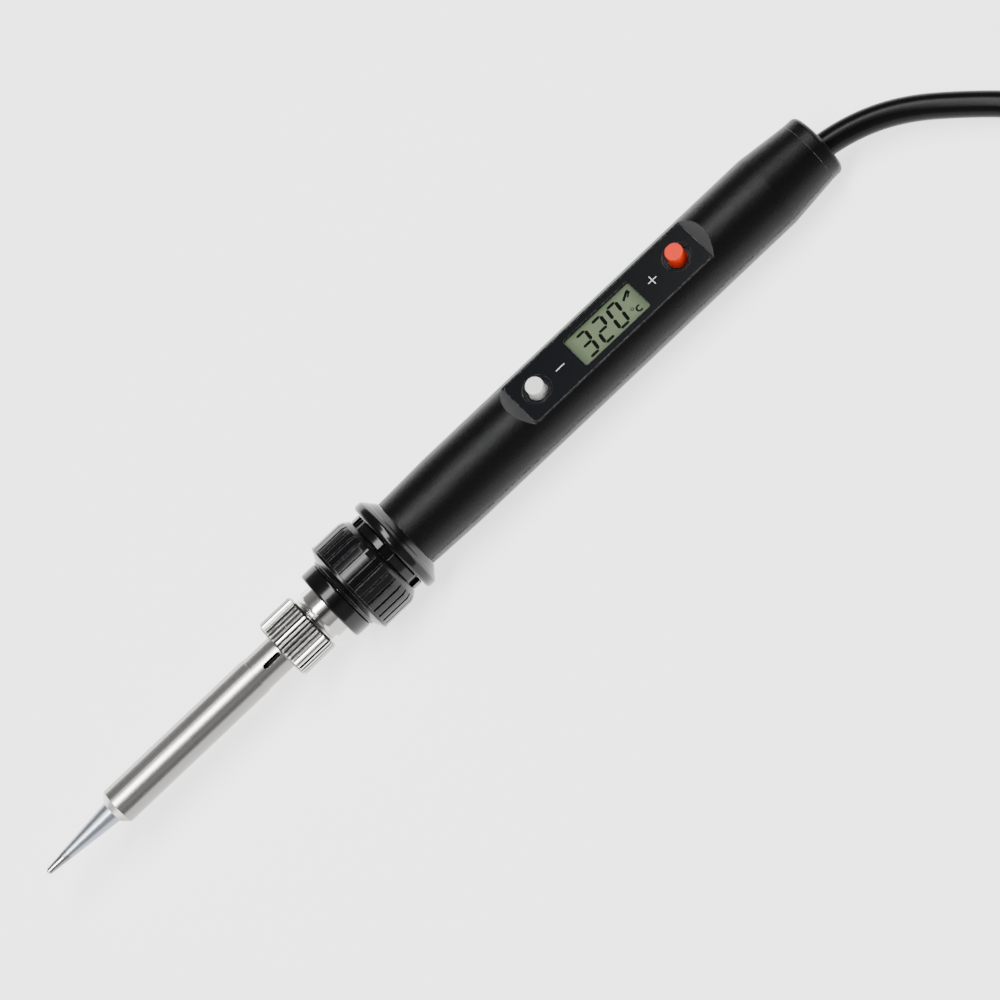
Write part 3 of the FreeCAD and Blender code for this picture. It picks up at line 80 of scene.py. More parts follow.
class NodeTree:
    """Short calls that add nodes to the tree of a material or of the sky."""

    def __init__(self, tree):
        self.nodes = tree.nodes
        self.links = tree.links

    def add(self, kind, values=None, **links):
        """A node whose sockets are set by values, and linked by links."""
        node = self.nodes.new(f"ShaderNode{kind}")
        for socket, value in (values or {}).items():
            node.inputs[socket].default_value = value
        for socket, source in links.items():
            self.links.new(source, node.inputs[socket])
        return node

    def math(self, operation, *terms):
        """A maths node on sources or plain numbers."""
        node = self.add("Math")
        node.operation = operation
        for slot, term in zip(node.inputs, terms):
            if isinstance(term, (int, float)):
                slot.default_value = term
            else:
                self.links.new(term, slot)
        return node.outputs[0]

    def dot(self, source, other):
        """The dot product of a source with a fixed direction or with another source."""
        node = self.add("VectorMath")
        node.operation = "DOT_PRODUCT"
        self.links.new(source, node.inputs[0])
        if isinstance(other, Vector):
            node.inputs[1].default_value = other
        else:
            self.links.new(other, node.inputs[1])
        return node.outputs["Value"]

    def ramp(self, source, stops):
        """Maps a value to grey levels or colours at stops of (position, colour)."""
        node = self.add("ValToRGB", Fac=source)
        band = node.color_ramp
        while len(band.elements) < len(stops):
            band.elements.new(0.5)
        for element, (position, color) in zip(band.elements, stops):
            element.position = position
            element.color = (color, color, color, 1) if isinstance(color, float) else (*color, 1)
        return node.outputs[0]

    def step(self, source, low, high):
        """0 below low and 1 above high, smooth between them."""
        node = self.add("MapRange", {"From Min": low, "From Max": high}, Value=source)
        node.interpolation_type = "SMOOTHSTEP"
        return node.outputs["Result"]

    def mix(self, share, first, second):
        """A colour between two colours or sources."""
        node = self.add("Mix", Factor=share)
        node.data_type = "RGBA"
        for slot, value in ((6, first), (7, second)):
            if isinstance(value, tuple):
                node.inputs[slot].default_value = (*value, 1)
            else:
                self.links.new(value, node.inputs[slot])
        return node.outputs[2]


class Look(NodeTree):
    """One node material with a Principled shader, and short calls that add to it."""

    def __init__(self, name, color, roughness, metallic=0.0, **sockets):
        self.material = bpy.data.materials.new(name)
        self.material.use_nodes = True
        super().__init__(self.material.node_tree)
        self.shader = self.nodes["Principled BSDF"]
        self.shader.inputs["Base Color"].default_value = (*color, 1)
        self.shader.inputs["Roughness"].default_value = roughness
        self.shader.inputs["Metallic"].default_value = metallic
        for socket, value in sockets.items():
            self.shader.inputs[socket.replace("_", " ")].default_value = value
        self.point = self.add("TexCoord").outputs["Object"]

    def distance(self, direction, origin=TIP_END):
        """How far a point lies from origin in a direction, in metres."""
        return self.math("SUBTRACT", self.dot(self.point, direction), float(origin.dot(direction)))

    def radius(self):
        """How far a point lies from the iron's axis, in metres."""
        across = (self.math("POWER", self.distance(way), 2.0) for way in (SIDE, FACE))
        return self.math("SQRT", self.math("ADD", *across))

    def stretched(self, rear, side, face):
        """The point in the iron's own axes, each scaled by a factor."""
        node = self.add("CombineXYZ")
        for slot, direction, factor in zip(node.inputs, (REAR, SIDE, FACE), (rear, side, face)):
            self.links.new(self.math("MULTIPLY", self.distance(direction), factor), slot)
        return node.outputs[0]

    def noise(self, scale, detail=3.0, roughness=0.55, point=None):
        values = {"Scale": scale, "Detail": detail, "Roughness": roughness}
        return self.add("TexNoise", values, Vector=point or self.point).outputs["Fac"]

    def cells(self, scale):
        return self.add("TexVoronoi", {"Scale": scale}, Vector=self.point).outputs["Distance"]

    def facing(self, direction, low, high):
        """1 where the surface faces along a direction or against it.

        The direction stays the world's, so this is for pieces that slide and don't turn.
        """
        normal = self.add("NewGeometry").outputs["True Normal"]
        return self.step(self.math("ABSOLUTE", self.dot(normal, direction)), low, high)

    def rounded(self, radius):
        """The surface's normal, as if sharp edges had a radius in millimetres."""
        node = self.add("Bevel", {"Radius": radius * MM})
        node.samples = 6
        return node.outputs[0]

    def edges(self, width):
        """1 along sharp edges, to a width in millimetres, broken up by a fine noise: where painted highlights go.
        """
        normal = self.add("NewGeometry").outputs["Normal"]
        turned_away = self.math("SUBTRACT", 1.0, self.dot(self.rounded(width), normal))
        highlight_breaks = self.step(self.noise(1400, 3.0), 0.34, 0.62)
        return self.math("MULTIPLY", self.step(turned_away, 0.02, 0.10), highlight_breaks)

    def color(self, source):
        self.links.new(source, self.shader.inputs["Base Color"])

    def roughness(self, source, low, high):
        """Roughness between two levels, by a source from 0 to 1."""
        level = self.math("ADD", self.math("MULTIPLY", source, high - low), low)
        self.links.new(level, self.shader.inputs["Roughness"])

    def bump(self, *layers, soft=0.0):
        """Bumps stacked on each other, each a source and a height in millimetres.

        With soft, sharp edges are shaded as if rounded to that radius in millimetres.
        """
        normal = self.rounded(soft) if soft else None
        for source, height in layers:
            node = self.add("Bump", {"Distance": height * MM, "Strength": 1.0}, Height=source)
            if normal:
                self.links.new(normal, node.inputs["Normal"])
            normal = node.outputs[0]
        self.links.new(normal, self.shader.inputs["Normal"])


# ---------------------------------------------------------------- camera and light

CAMERA_TARGET = Vector((0.01075, -0.00979, 0.01157))
CAMERA_DISTANCE = 0.7733
CAMERA_HEIGHT_ANGLE = math.radians(63.0)
CAMERA_ROLL = math.radians(44.07)
CAMERA_LENS = 133.3


def make_camera():
    """Looks down at the iron from its -Y side, rolled so that the tip points down left."""
    rise, roll = CAMERA_HEIGHT_ANGLE, CAMERA_ROLL
    right = Vector((math.cos(roll), -math.sin(roll) * math.sin(rise), -math.sin(roll) * math.cos(rise)))
    up = Vector((math.sin(roll), math.cos(roll) * math.sin(rise), math.cos(roll) * math.cos(rise)))
    back = Vector((0, -math.cos(rise), math.sin(rise)))
    camera = bpy.data.objects.new("camera", bpy.data.cameras.new("camera"))
    camera.data.lens = CAMERA_LENS
    camera.data.clip_start = 0.01
    axes = Matrix((right, up, back)).transposed().to_4x4()
    camera.matrix_world = Matrix.Translation(CAMERA_TARGET + back * CAMERA_DISTANCE) @ axes
    bpy.context.scene.collection.objects.link(camera)
    bpy.context.scene.camera = camera


STRIP_SPOT, STRIP_TARGET = Vector((0.0, 0.03, 0.9)), Vector((0.02, 0.0, 0.01))
STRIP_SIZE = (1.2, 0.22)
STRIP_WATTS = 16.0


def make_strip_light():
    """A long rectangular area light above the iron, turned to face it."""
    light = bpy.data.lights.new("strip_light", "AREA")
    light.shape = "RECTANGLE"
    light.size, light.size_y = STRIP_SIZE
    light.energy = STRIP_WATTS
    holder = bpy.data.objects.new("strip_light", light)
    holder.location = STRIP_SPOT
    holder.rotation_euler = (STRIP_TARGET - STRIP_SPOT).to_track_quat("-Z", "Y").to_euler()
    bpy.context.scene.collection.objects.link(holder)


SKY_LEVELS = (
    (0, 0.55), (35, 0.55), (48, 0.2), (53, 0.02), (66, 0.02), (74, 0.35), (100, 0.25), (130, 0.15),
    (180, 0.35))     # degrees over the iron from its -Y side, and how bright
HORIZON_LEVEL = 0.6
HORIZON_RISE = (0.03, 0.25)     # where the horizon's level gives way to the bands


def make_sky():
    """A sky in broad grey bands that run along the iron, over an even horizon."""
    world = bpy.data.worlds.new("studio")
    world.use_nodes = True
    sky = NodeTree(world.node_tree)
    split = sky.add("SeparateXYZ", Vector=sky.add("TexCoord").outputs["Generated"])
    height = split.outputs["Z"]
    across = sky.math("MULTIPLY", split.outputs["Y"], -1.0)
    half_turns = sky.math("DIVIDE", sky.math("ARCTAN2", height, across), math.pi)
    bands = sky.ramp(half_turns, [(degrees / 180, level) for degrees, level in SKY_LEVELS])
    levels = sky.mix(sky.step(height, *HORIZON_RISE), (HORIZON_LEVEL,) * 3, bands)
    sky.links.new(levels, sky.nodes["Background"].inputs["Color"])
    bpy.context.scene.world = world


FLOOR_SIDE = 6.0
FLOOR_DROP = 0.2 * MM     # keeps the floor clear of the iron's lowest faces


def make_floor():
    bpy.ops.mesh.primitive_plane_add(size=FLOOR_SIDE, location=(0, 0, -FLOOR_DROP))
    floor = bpy.context.object
    floor.name = "floor"
    floor.data.materials.append(floor_paper())


# ---------------------------------------------------------------- metals


BURNT = (0.012, 0.011, 0.010)
BURNT_START = 21.0 * MM     # a little behind the tube's mouth, from the end of the tip
BURNT_FADE = 1.0 * MM       # the length over which steel and plating turn burnt
TUBE_WALL = (3.9 * MM, 4.0 * MM)     # radii inside the wall, between its burnt bore and its outside


def satin_stainless():
    """Turned steel: very fine rings, an uneven sheen, specks, painted shade on the flanks and a burnt bore."""
    look = Look("satin_stainless", (0.62, 0.60, 0.57), 0.3, 1.0)
    rings = look.noise(1.0, 4.0, 0.7, look.stretched(9000, 60, 60))
    cloud = look.noise(1.0, 3.0, 0.5, look.stretched(60, 160, 160))
    specks = look.step(look.noise(2300, 1.0), 0.74, 0.78)
    steel = look.mix(cloud, (0.58, 0.56, 0.53), (0.72, 0.705, 0.68))
    # painted shade: the flanks, by which way they face, are mixed towards dark steel
    steel = look.mix(look.facing(SIDE, 0.42, 0.8), steel, (0.21, 0.205, 0.195))
    steel = look.mix(specks, steel, (0.16, 0.15, 0.135))
    in_bore = look.math("SUBTRACT", 1.0, look.step(look.radius(), *TUBE_WALL))
    behind_mouth = look.step(look.distance(REAR), BURNT_START, BURNT_START + BURNT_FADE)
    look.color(look.mix(look.math("MULTIPLY", in_bore, behind_mouth), steel, BURNT))
    look.roughness(rings, 0.2, 0.3)
    look.bump((rings, 0.0014), (cloud, 0.006), soft=0.1)
    return look.material


KNURL_ROOT, KNURL_LAND = 6.95 * MM, 7.16 * MM     # radii between which the grime and painted shade fade out
SLEEVE_EDGE = (6.55 * MM, 6.65 * MM)     # radii above the sleeve and below the knurling


def bright_nickel():
    """Bright plating, with painted shade on the sleeve's flanks, and grime and painted shade at the roots of the
    knurling.
    """
    look = Look("bright_nickel", (0.80, 0.78, 0.74), 0.16, 1.0)
    turned = look.noise(1.0, 3.0, 0.7, look.stretched(7000, 90, 90))
    cloud = look.noise(420, 3.0)
    radius = look.radius()
    past_sleeve = look.step(radius, *SLEEVE_EDGE)
    under_land = look.math("SUBTRACT", 1.0, look.step(radius, KNURL_ROOT, KNURL_LAND))
    # grime and painted shade at the roots of the knurling, above the sleeve and under the lands
    grime_and_shade = look.math("MULTIPLY", past_sleeve, under_land)
    plating = look.mix(cloud, (0.76, 0.74, 0.70), (0.88, 0.87, 0.84))
    # painted shade: the sleeve's flanks, by which way they face, are mixed towards dark plating
    sleeve_flank_shade = look.math("MULTIPLY", look.facing(SIDE, 0.6, 0.92),
                             look.math("SUBTRACT", 1.0, past_sleeve))
    plating = look.mix(sleeve_flank_shade, plating, (0.33, 0.32, 0.30))
    look.color(look.mix(grime_and_shade, plating, (0.12, 0.115, 0.108)))
    look.roughness(turned, 0.08, 0.18)
    look.bump((turned, 0.0015), (cloud, 0.003), soft=0.06)
    return look.material


TINNED_END = 4.5 * MM      # from the end of the tip, as is FLUX_END
FLUX_END = 5.8 * MM
TIN_FADE, FLUX_FADE = 0.12 * MM, 0.2 * MM
BORDER_WAVE = 0.8 * MM     # how far the borders of tin and flux wander


def plated_tip():
    """Satin bluish plating with painted shade on its flanks; tin on the last millimetres, a dull band, and a shank
    burnt black.
    """
    look = Look("plated_tip", (0.60, 0.64, 0.69), 0.36, 1.0)
    wave = look.math("MULTIPLY", look.math("SUBTRACT", look.noise(900, 2.0), 0.5), BORDER_WAVE)
    along = look.math("ADD", look.distance(REAR), wave)
    past_tin = look.step(along, TINNED_END - TIN_FADE, TINNED_END + TIN_FADE)
    past_flux = look.step(along, FLUX_END - FLUX_FADE, FLUX_END + FLUX_FADE)
    cloud = look.noise(500, 4.0)
    bluish = look.mix(cloud, (0.52, 0.57, 0.64), (0.66, 0.70, 0.76))
    dull = look.mix(cloud, (0.36, 0.36, 0.37), (0.50, 0.50, 0.51))
    tin = look.mix(cloud, (0.74, 0.74, 0.75), (0.92, 0.92, 0.92))
    streak = look.step(look.noise(1.0, 3.0, 0.6, look.stretched(260, 1300, 1300)), 0.62, 0.68)
    tin = look.mix(streak, tin, (0.20, 0.19, 0.18))
    # painted shade: the flanks, by which way they face, are mixed towards darker plating and darker tin
    flank_shade = look.facing(SIDE, 0.42, 0.85)
    bluish = look.mix(flank_shade, bluish, (0.25, 0.275, 0.31))
    ends = look.mix(flank_shade, look.mix(past_tin, tin, dull), (0.17, 0.17, 0.17))
    seen = look.mix(past_flux, ends, bluish)
    oxidised = look.step(along, BURNT_START, BURNT_START + BURNT_FADE)
    look.color(look.mix(oxidised, seen, BURNT))
    look.roughness(past_tin, 0.12, 0.34)
    rings = look.noise(1.0, 3.0, 0.6, look.stretched(8000, 80, 80))
    look.bump((rings, 0.002), (cloud, 0.006), soft=0.06)
    return look.material


def zinc_steel():
    look = Look("zinc_steel", (0.66, 0.65, 0.60), 0.34, 1.0)
    grain = look.noise(1600, 3.0)
    look.color(look.mix(grain, (0.58, 0.57, 0.52), (0.74, 0.73, 0.70)))
    look.roughness(grain, 0.26, 0.42)
    look.bump((grain, 0.004))
    return look.material


def drawn_aluminium():
    look = Look("drawn_aluminium", (0.78, 0.78, 0.80), 0.3, 1.0)
    lines = look.noise(1.0, 3.0, 0.6, look.stretched(200, 5000, 5000))
    look.color(look.mix(lines, (0.70, 0.70, 0.72), (0.84, 0.84, 0.86)))
    look.roughness(lines, 0.24, 0.36)
    look.bump((lines, 0.003))
    return look.material


# ---------------------------------------------------------------- plastics and rubber


def moulded(name, dark, light, roughness, grain_scale, grain_height, soft=0.1, **sockets):
    """Moulded plastic: a fine grain, faint flow marks and uneven gloss."""
    look = Look(name, light, roughness[0], 0.0, **sockets)
    grain = look.noise(grain_scale, 3.0, 0.65)
    flow = look.noise(45, 3.0, 0.5)
    look.color(look.mix(look.ramp(flow, ((0.3, 0.0), (0.7, 1.0))), dark, light))
    look.roughness(grain, *roughness)
    look.bump((flow, 0.012), (grain, grain_height), soft=soft)
    return look.material


def gloss_black():
    """Smooth black, with painted highlights as fine light lines along sharp edges."""
    look = Look("gloss_black", (0.004, 0.004, 0.0045), 0.2, Specular_IOR_Level=0.28)
    grain = look.noise(2600, 3.0, 0.65)
    flow = look.noise(45, 3.0, 0.5)
    black = look.mix(flow, (0.0025, 0.0025, 0.003), (0.0045, 0.0045, 0.005))
    # painted highlights: light lines mixed in along sharp edges
    look.color(look.mix(look.edges(0.13), black, (0.10, 0.10, 0.105)))
    look.roughness(grain, 0.12, 0.20)
    look.bump((flow, 0.012), (grain, 0.0015), soft=0.16)
    return look.material


RAMP_LEVEL = (6.4 * MM, 6.6 * MM)     # above the axis; a ramp is what faces along the iron up there


def handle_black():
    """Spark-eroded grain that glints point by point; painted light on the ramps and painted highlights along
    edges.
    """
    look = Look("handle_black", (0.004, 0.004, 0.0045), 0.4, Specular_IOR_Level=0.13)
    grain = look.noise(4200, 2.0, 0.6)
    pits = look.cells(3300)
    flow = look.noise(40, 3.0)
    # painted light: the ramp faces high on the handle are made paler by the way they face
    high_up = look.step(look.distance(FACE), *RAMP_LEVEL)
    ramps = look.math("MULTIPLY", look.facing(REAR, 0.3, 0.5), high_up)
    black = look.mix(look.ramp(grain, ((0.35, 0.0), (0.7, 1.0))), (0.0015, 0.0015, 0.0017),
                     (0.0045, 0.0045, 0.005))
    ramp_light = look.mix(grain, (0.03, 0.03, 0.031), (0.065, 0.065, 0.067))
    # painted highlights along sharp edges, over the black and the painted ramp light
    look.color(look.mix(look.edges(0.1), look.mix(ramps, black, ramp_light), (0.22, 0.22, 0.22)))
    look.roughness(look.ramp(grain, ((0.3, 1.0), (0.72, 0.0))), 0.22, 0.40)
    look.bump((flow, 0.012), (pits, 0.035), (grain, 0.04), soft=0.12)
    return look.material


def panel_black():
    """Smooth bluish-black plate with faint fine texture and painted highlights along its edges."""
    look = Look("panel_black", (0.004, 0.0045, 0.006), 0.2, Specular_IOR_Level=0.25)
    grain = look.noise(5200, 3.0, 0.65)
    black = look.mix(grain, (0.0025, 0.003, 0.004), (0.004, 0.0046, 0.0062))
    # painted highlights along the plate's sharp edges
    look.color(look.mix(look.edges(0.09), black, (0.24, 0.243, 0.25)))
    look.roughness(grain, 0.15, 0.21)
    look.bump((grain, 0.0015), soft=0.1)
    return look.material


def rubber_black():
    return moulded("rubber_black", (0.004, 0.004, 0.004), (0.008, 0.008, 0.008), (0.38, 0.52),
                   3200, 0.006, soft=0.15, Specular_IOR_Level=0.35)


def cord_black():
    """Smooth PVC: soft highlight, and the slight waviness of the cores inside."""
    return moulded("cord_black", (0.002, 0.002, 0.002), (0.004, 0.004, 0.004), (0.24, 0.34),
                   2400, 0.0025, soft=0.0, Specular_IOR_Level=0.11)


def button_plastic(name, dark, light):
    return moulded(name, dark, light, (0.32, 0.42), 3000, 0.002, Specular_IOR_Level=0.15,
                   Subsurface_Weight=0.08, Subsurface_Radius=(0.0009, 0.0006, 0.0004))


def white_button():
    return button_plastic("white_button", (0.91, 0.90, 0.87), (0.96, 0.95, 0.92))


def red_button():
    return button_plastic("red_button", (0.74, 0.026, 0.005), (0.82, 0.036, 0.009))


def clear_pane():
    """A clear window: seen through, with a soft reflection and hardly visible scuffs."""
    look = Look("clear_pane", (0.02, 0.02, 0.02), 0.06, 0.0, Alpha=0.06, Specular_IOR_Level=0.5)
    scuffs = look.noise(1.0, 4.0, 0.7, look.stretched(120, 900, 900))
    look.color(look.mix(scuffs, (0.015, 0.018, 0.015), (0.05, 0.055, 0.05)))
    look.roughness(look.ramp(scuffs, ((0.45, 0.0), (0.8, 1.0))), 0.03, 0.08)
    look.bump((scuffs, 0.0004))
    return look.material


SHADE_LONG, SHADE_WIDE = 2.6 * MM, 1.6 * MM     # how far the painted shade of the window's rim reaches into the display


def display_ground():
    """The display's grey-green ground, with painted shade from the window's rim towards its edges."""
    look = Look("display_ground", (0.11, 0.16, 0.085), 0.35, Specular_IOR_Level=0.15)
    low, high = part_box("display_lens")
    middle = (low + high) / 2
    half_long = (high.x - low.x) / 2
    half_wide = (high.y - low.y) / 2
    rear = look.math("ABSOLUTE", look.distance(REAR, middle))
    side = look.math("ABSOLUTE", look.distance(SIDE, middle))
    edge_long = look.step(rear, half_long - SHADE_LONG, half_long)
    edge_wide = look.step(side, half_wide - SHADE_WIDE, half_wide)
    edge = look.math("MAXIMUM", edge_long, edge_wide)
    fibre = look.noise(2200, 2.0)
    ground = look.mix(fibre, (0.135, 0.180, 0.100), (0.158, 0.203, 0.118))
    # painted shade from the window's rim towards the edges
    look.color(look.mix(edge, ground, (0.095, 0.13, 0.072)))
    look.roughness(fibre, 0.3, 0.42)
    look.bump((fibre, 0.002))
    return look.material


def display_segment():
    look = Look("display_segment", (0.001, 0.0015, 0.001), 0.5, Specular_IOR_Level=0.02)
    grain = look.noise(2500, 2.0)
    look.color(look.mix(grain, (0.0006, 0.001, 0.0006), (0.0015, 0.002, 0.0015)))
    look.roughness(grain, 0.34, 0.46)
    look.bump((grain, 0.001))
    return look.material


def white_print():
    look = Look("white_print", (0.72, 0.73, 0.74), 0.5)
    grain = look.noise(3500, 3.0)
    look.color(look.mix(look.ramp(grain, ((0.3, 0.0), (0.6, 1.0))), (0.52, 0.53, 0.54),
                        (0.76, 0.77, 0.78)))
    look.roughness(grain, 0.42, 0.6)
    look.bump((grain, 0.004))
    return look.material


def natural_nylon():
    return moulded("natural_nylon", (0.66, 0.63, 0.54), (0.78, 0.76, 0.68), (0.36, 0.5), 1800,
                   0.003)


def grey_silicone():
    """Thin dark and light layers across the strip, as conductive rubber has."""
    look = Look("grey_silicone", (0.4, 0.4, 0.4), 0.6)
    wave = look.add("TexWave", {"Scale": 900.0, "Distortion": 0.4}, Vector=look.point)
    look.color(look.mix(wave.outputs["Fac"], (0.12, 0.12, 0.12), (0.55, 0.55, 0.54)))
    look.roughness(look.noise(1500), 0.5, 0.7)
    look.bump((wave.outputs["Fac"], 0.004))
    return look.material


def board_green():
    """Solder mask with paler traces under it."""
    look = Look("board_green", (0.02, 0.2, 0.08), 0.3)
    traces = look.add("TexBrick", {"Scale": 260.0, "Mortar Size": 0.03}, Vector=look.stretched(1, 1, 0))
    glass = look.noise(1800, 2.0)
    mask = look.mix(glass, (0.012, 0.13, 0.05), (0.022, 0.19, 0.075))
    look.color(look.mix(traces.outputs["Fac"], mask, (0.05, 0.30, 0.12)))
    look.roughness(glass, 0.25, 0.4)
    look.bump((traces.outputs["Fac"], 0.02), (glass, 0.003))
    return look.material


def epoxy_black():
    return moulded("epoxy_black", (0.010, 0.010, 0.011), (0.018, 0.018, 0.019), (0.5, 0.66), 2800,
                   0.01)


def film_yellow():
    return moulded("film_yellow", (0.62, 0.42, 0.03), (0.74, 0.54, 0.06), (0.22, 0.32), 900,
                   0.004)


TIP_REAR = 44.7 * MM     # from the end of the tip
SCORCH = 3.0 * MM        # the length over which the ceramic turns black


def white_ceramic():
    """White alumina, burnt black behind the tip."""
    look = Look("white_ceramic", (0.84, 0.83, 0.79), 0.5)
    grain = look.noise(3600, 3.0, 0.65)
    white = look.mix(look.noise(300, 3.0), (0.74, 0.72, 0.66), (0.84, 0.83, 0.79))
    burnt = look.step(look.distance(REAR), TIP_REAR, TIP_REAR + SCORCH)
    look.color(look.mix(burnt, white, BURNT))
    look.roughness(grain, 0.5, 0.7)
    look.bump((look.noise(45, 3.0, 0.5), 0.012), (grain, 0.006), soft=0.1)
    return look.material


def glass_sleeving():
    """Woven sleeving: two crossing sets of threads."""
    look = Look("glass_sleeving", (0.78, 0.76, 0.68), 0.7)
    warp = look.add("TexWave", {"Scale": 1400.0, "Distortion": 0.6}, Vector=look.point)
    weft = look.add("TexWave", {"Scale": 1400.0, "Distortion": 0.6}, Vector=look.point)
    weft.bands_direction = "Y"
    weave = look.math("MAXIMUM", warp.outputs["Fac"], weft.outputs["Fac"])
    look.color(look.mix(weave, (0.52, 0.50, 0.44), (0.84, 0.82, 0.76)))
    look.roughness(weave, 0.6, 0.8)
    look.bump((weave, 0.03))
    return look.material


def core_blue():
    return moulded("core_blue", (0.015, 0.07, 0.30), (0.03, 0.12, 0.42), (0.34, 0.46), 1500,
                   0.004)


def floor_paper():
    look = Look("floor_paper", (0.90, 0.90, 0.90), 0.85, 0.0, Emission_Color=(1, 1, 1, 1),
                Emission_Strength=2.0)
    grain = look.noise(300, 4.0)
    look.color(look.mix(grain, (0.88, 0.88, 0.88), (0.92, 0.92, 0.92)))
    look.bump((grain, 0.02))
    return look.material


SLOT_LOOKS = {
    "tip_plating": plated_tip, "stainless": satin_stainless, "nickel": bright_nickel,
    "ceramic": white_ceramic, "gloss_black": gloss_black, "handle_black": handle_black,
    "panel_black": panel_black, "lens": clear_pane, "lcd": display_ground,
    "natural_nylon": natural_nylon, "strip_rubber": grey_silicone, "board_green": board_green,
    "chip_black": epoxy_black, "capacitor_yellow": film_yellow, "can_aluminium": drawn_aluminium,
    "zinc_steel": zinc_steel, "rubber_black": rubber_black, "lead_sleeving": glass_sleeving,
    "core_blue": core_blue, "button_white": white_button, "button_red": red_button,
    "cord_black": cord_black, "pin_nickel": bright_nickel, "sleeve_black": rubber_black}


def dress_nodes(looks):
    """Gives every CAD node the finished material of its slot."""
    for part in frame["record"]["subparts"]:
        mesh = frame["nodes"][part["node"]].data
        mesh.materials.clear()
        mesh.materials.append(looks[part["material_slot"]])


# ---------------------------------------------------------------- the cord

CORD_DIAMETER = 0.0058     # in metres, as are the next two
TIE_STANDOFF = 0.00075     # from the tie's outside to the hank inside it
# in mm, in the frame's axes: from inside the handle to the hank, and from the hank to the plug
CORD_ROUTE = [
    (94.4, 0.0, 8.93), (104.5, -0.3, 8.5), (117.0, -1.6, 7.7), (128.8, -6.7, 6.5),
    (139.8, -16.8, 5.0), (148.9, -27.2, 3.9), (159.8, -36.5, 3.45), (173.5, -41.6, 3.4),
    (188.0, -42.1, 3.4)]
TAIL_ROUTE = [
    (290.0, -15.0, 9.4), (285.0, -3.0, 10.8), (275.0, 4.5, 13.0), (262.5, 5.4, 15.8),
    (250.2, 2.4, 18.2), (238.8, -1.3, 19.5)]
FOLD_POINTS = 7
WAIST_POINTS = 3
TURN_POINTS = 2 * (FOLD_POINTS + WAIST_POINTS)
FIRST_POINT = FOLD_POINTS - 1     # the end of a left fold
LAST_POINT = 3 * TURN_POINTS + FOLD_POINTS + WAIST_POINTS + 2     # in a right fold, after three turns
ROW_CHANGES = ((1.05, 1.27, 1), (2.7, 3.0, -1))     # turns from, turns to, rows inwards
LAYER_CHANGES = ((1.83, 2.1, 1),)


def changed(turns, changes):
    """How many rows or layers the winding has moved after so many turns."""
    return sum(step * min(max((turns - start) / (end - start), 0), 1) for start, end, step in changes)


def hank_points():
    """The winding of the hank: two folds, and a waist where the tie draws the runs together."""
    low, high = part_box("cord_hank")
    fold = (high.y - low.y) / 2
    middle = (low.y + high.y) / 2
    left, right = low.x + fold, high.x - fold
    centre, half_gap = (left + right) / 2, (right - left) / 2
    tie_low, tie_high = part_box("cord_tie")
    waist = (tie_high.y - tie_low.y) / 2 - TIE_STANDOFF
    hollow = (half_gap ** 2 + waist ** 2 - fold ** 2) / (2 * (fold - waist))
    offset = waist + hollow
    meeting = math.atan2(offset, half_gap)
    fold_turn = 2 * (math.pi - meeting) / FOLD_POINTS
    waist_turn = -(math.pi - 2 * meeting) / WAIST_POINTS
    arcs = (
        (left, middle, FOLD_POINTS, meeting, fold_turn, 1),
        (centre, middle - offset, WAIST_POINTS, math.pi - meeting, waist_turn, -1),
        (right, middle, FOLD_POINTS, meeting - math.pi, fold_turn, 1),
        (centre, middle + offset, WAIST_POINTS, -meeting, waist_turn, -1))
    stations = [(arc, index) for arc in arcs for index in range(arc[2])]
    points = []
    for number in range(FIRST_POINT, LAST_POINT + 1):
        (x, y, _, start, turn, outwards), index = stations[number % TURN_POINTS]
        turns = number / TURN_POINTS
        row = changed(turns, ROW_CHANGES)
        inset = CORD_DIAMETER * (0.5 + row)
        radius = (fold - inset) if outwards > 0 else (hollow + inset)
        reach = radius / math.cos(turn / 2)
        angle = start + turn * (index + 0.5)
        level = low.z + CORD_DIAMETER * (0.5 + changed(turns, LAYER_CHANGES))
        points.append((x + reach * math.cos(angle), y + reach * math.sin(angle), level))
    return points


def make_cord(look):
    """The whole cord as one smooth line, from inside the handle to the plug's strain relief."""
    routes = [[tuple(value * MM for value in point) for point in route]
              for route in (CORD_ROUTE, TAIL_ROUTE)]
    points = routes[0] + hank_points() + routes[1]
    curve = bpy.data.curves.new("cord_line", "CURVE")
    curve.dimensions = "3D"
    curve.bevel_depth = CORD_DIAMETER / 2
    curve.bevel_resolution = 8
    curve.resolution_u = 10
    curve.use_fill_caps = True
    spline = curve.splines.new("NURBS")
    spline.points.add(len(points) - 1)
    for target, point in zip(spline.points, points):
        target.co = (*point, 1)
    spline.order_u = 3
    spline.use_endpoint_u = True
    curve.materials.append(look)
    cord = bpy.data.objects.new("cord_line", curve)
    bpy.context.scene.collection.objects.link(cord)
    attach(cord, "handle")
    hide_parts("power_cord", "cord_hank", "cord_tail")


# ---------------------------------------------------------------- print and display


def solid_piece(name, outlines, low, high, look):
    """Flat shapes in the panel's plane, as thin solids between two levels of the iron."""
    mesh = bmesh.new()
    for outline in outlines:
        rings = [[mesh.verts.new(place(x, y, level)) for x, y in outline] for level in (low, high)]
        mesh.faces.new(rings[1])
        mesh.faces.new(list(reversed(rings[0])))
        for index in range(len(outline)):
            following = (index + 1) % len(outline)
            mesh.faces.new([rings[0][index], rings[0][following], rings[1][following],
                            rings[1][index]])
    bmesh.ops.recalc_face_normals(mesh, faces=mesh.faces)
    data = bpy.data.meshes.new(name)
    mesh.to_mesh(data)
    mesh.free()
    data.materials.append(look)
    piece = bpy.data.objects.new(name, data)
    bpy.context.scene.collection.objects.link(piece)
    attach(piece, "handle")


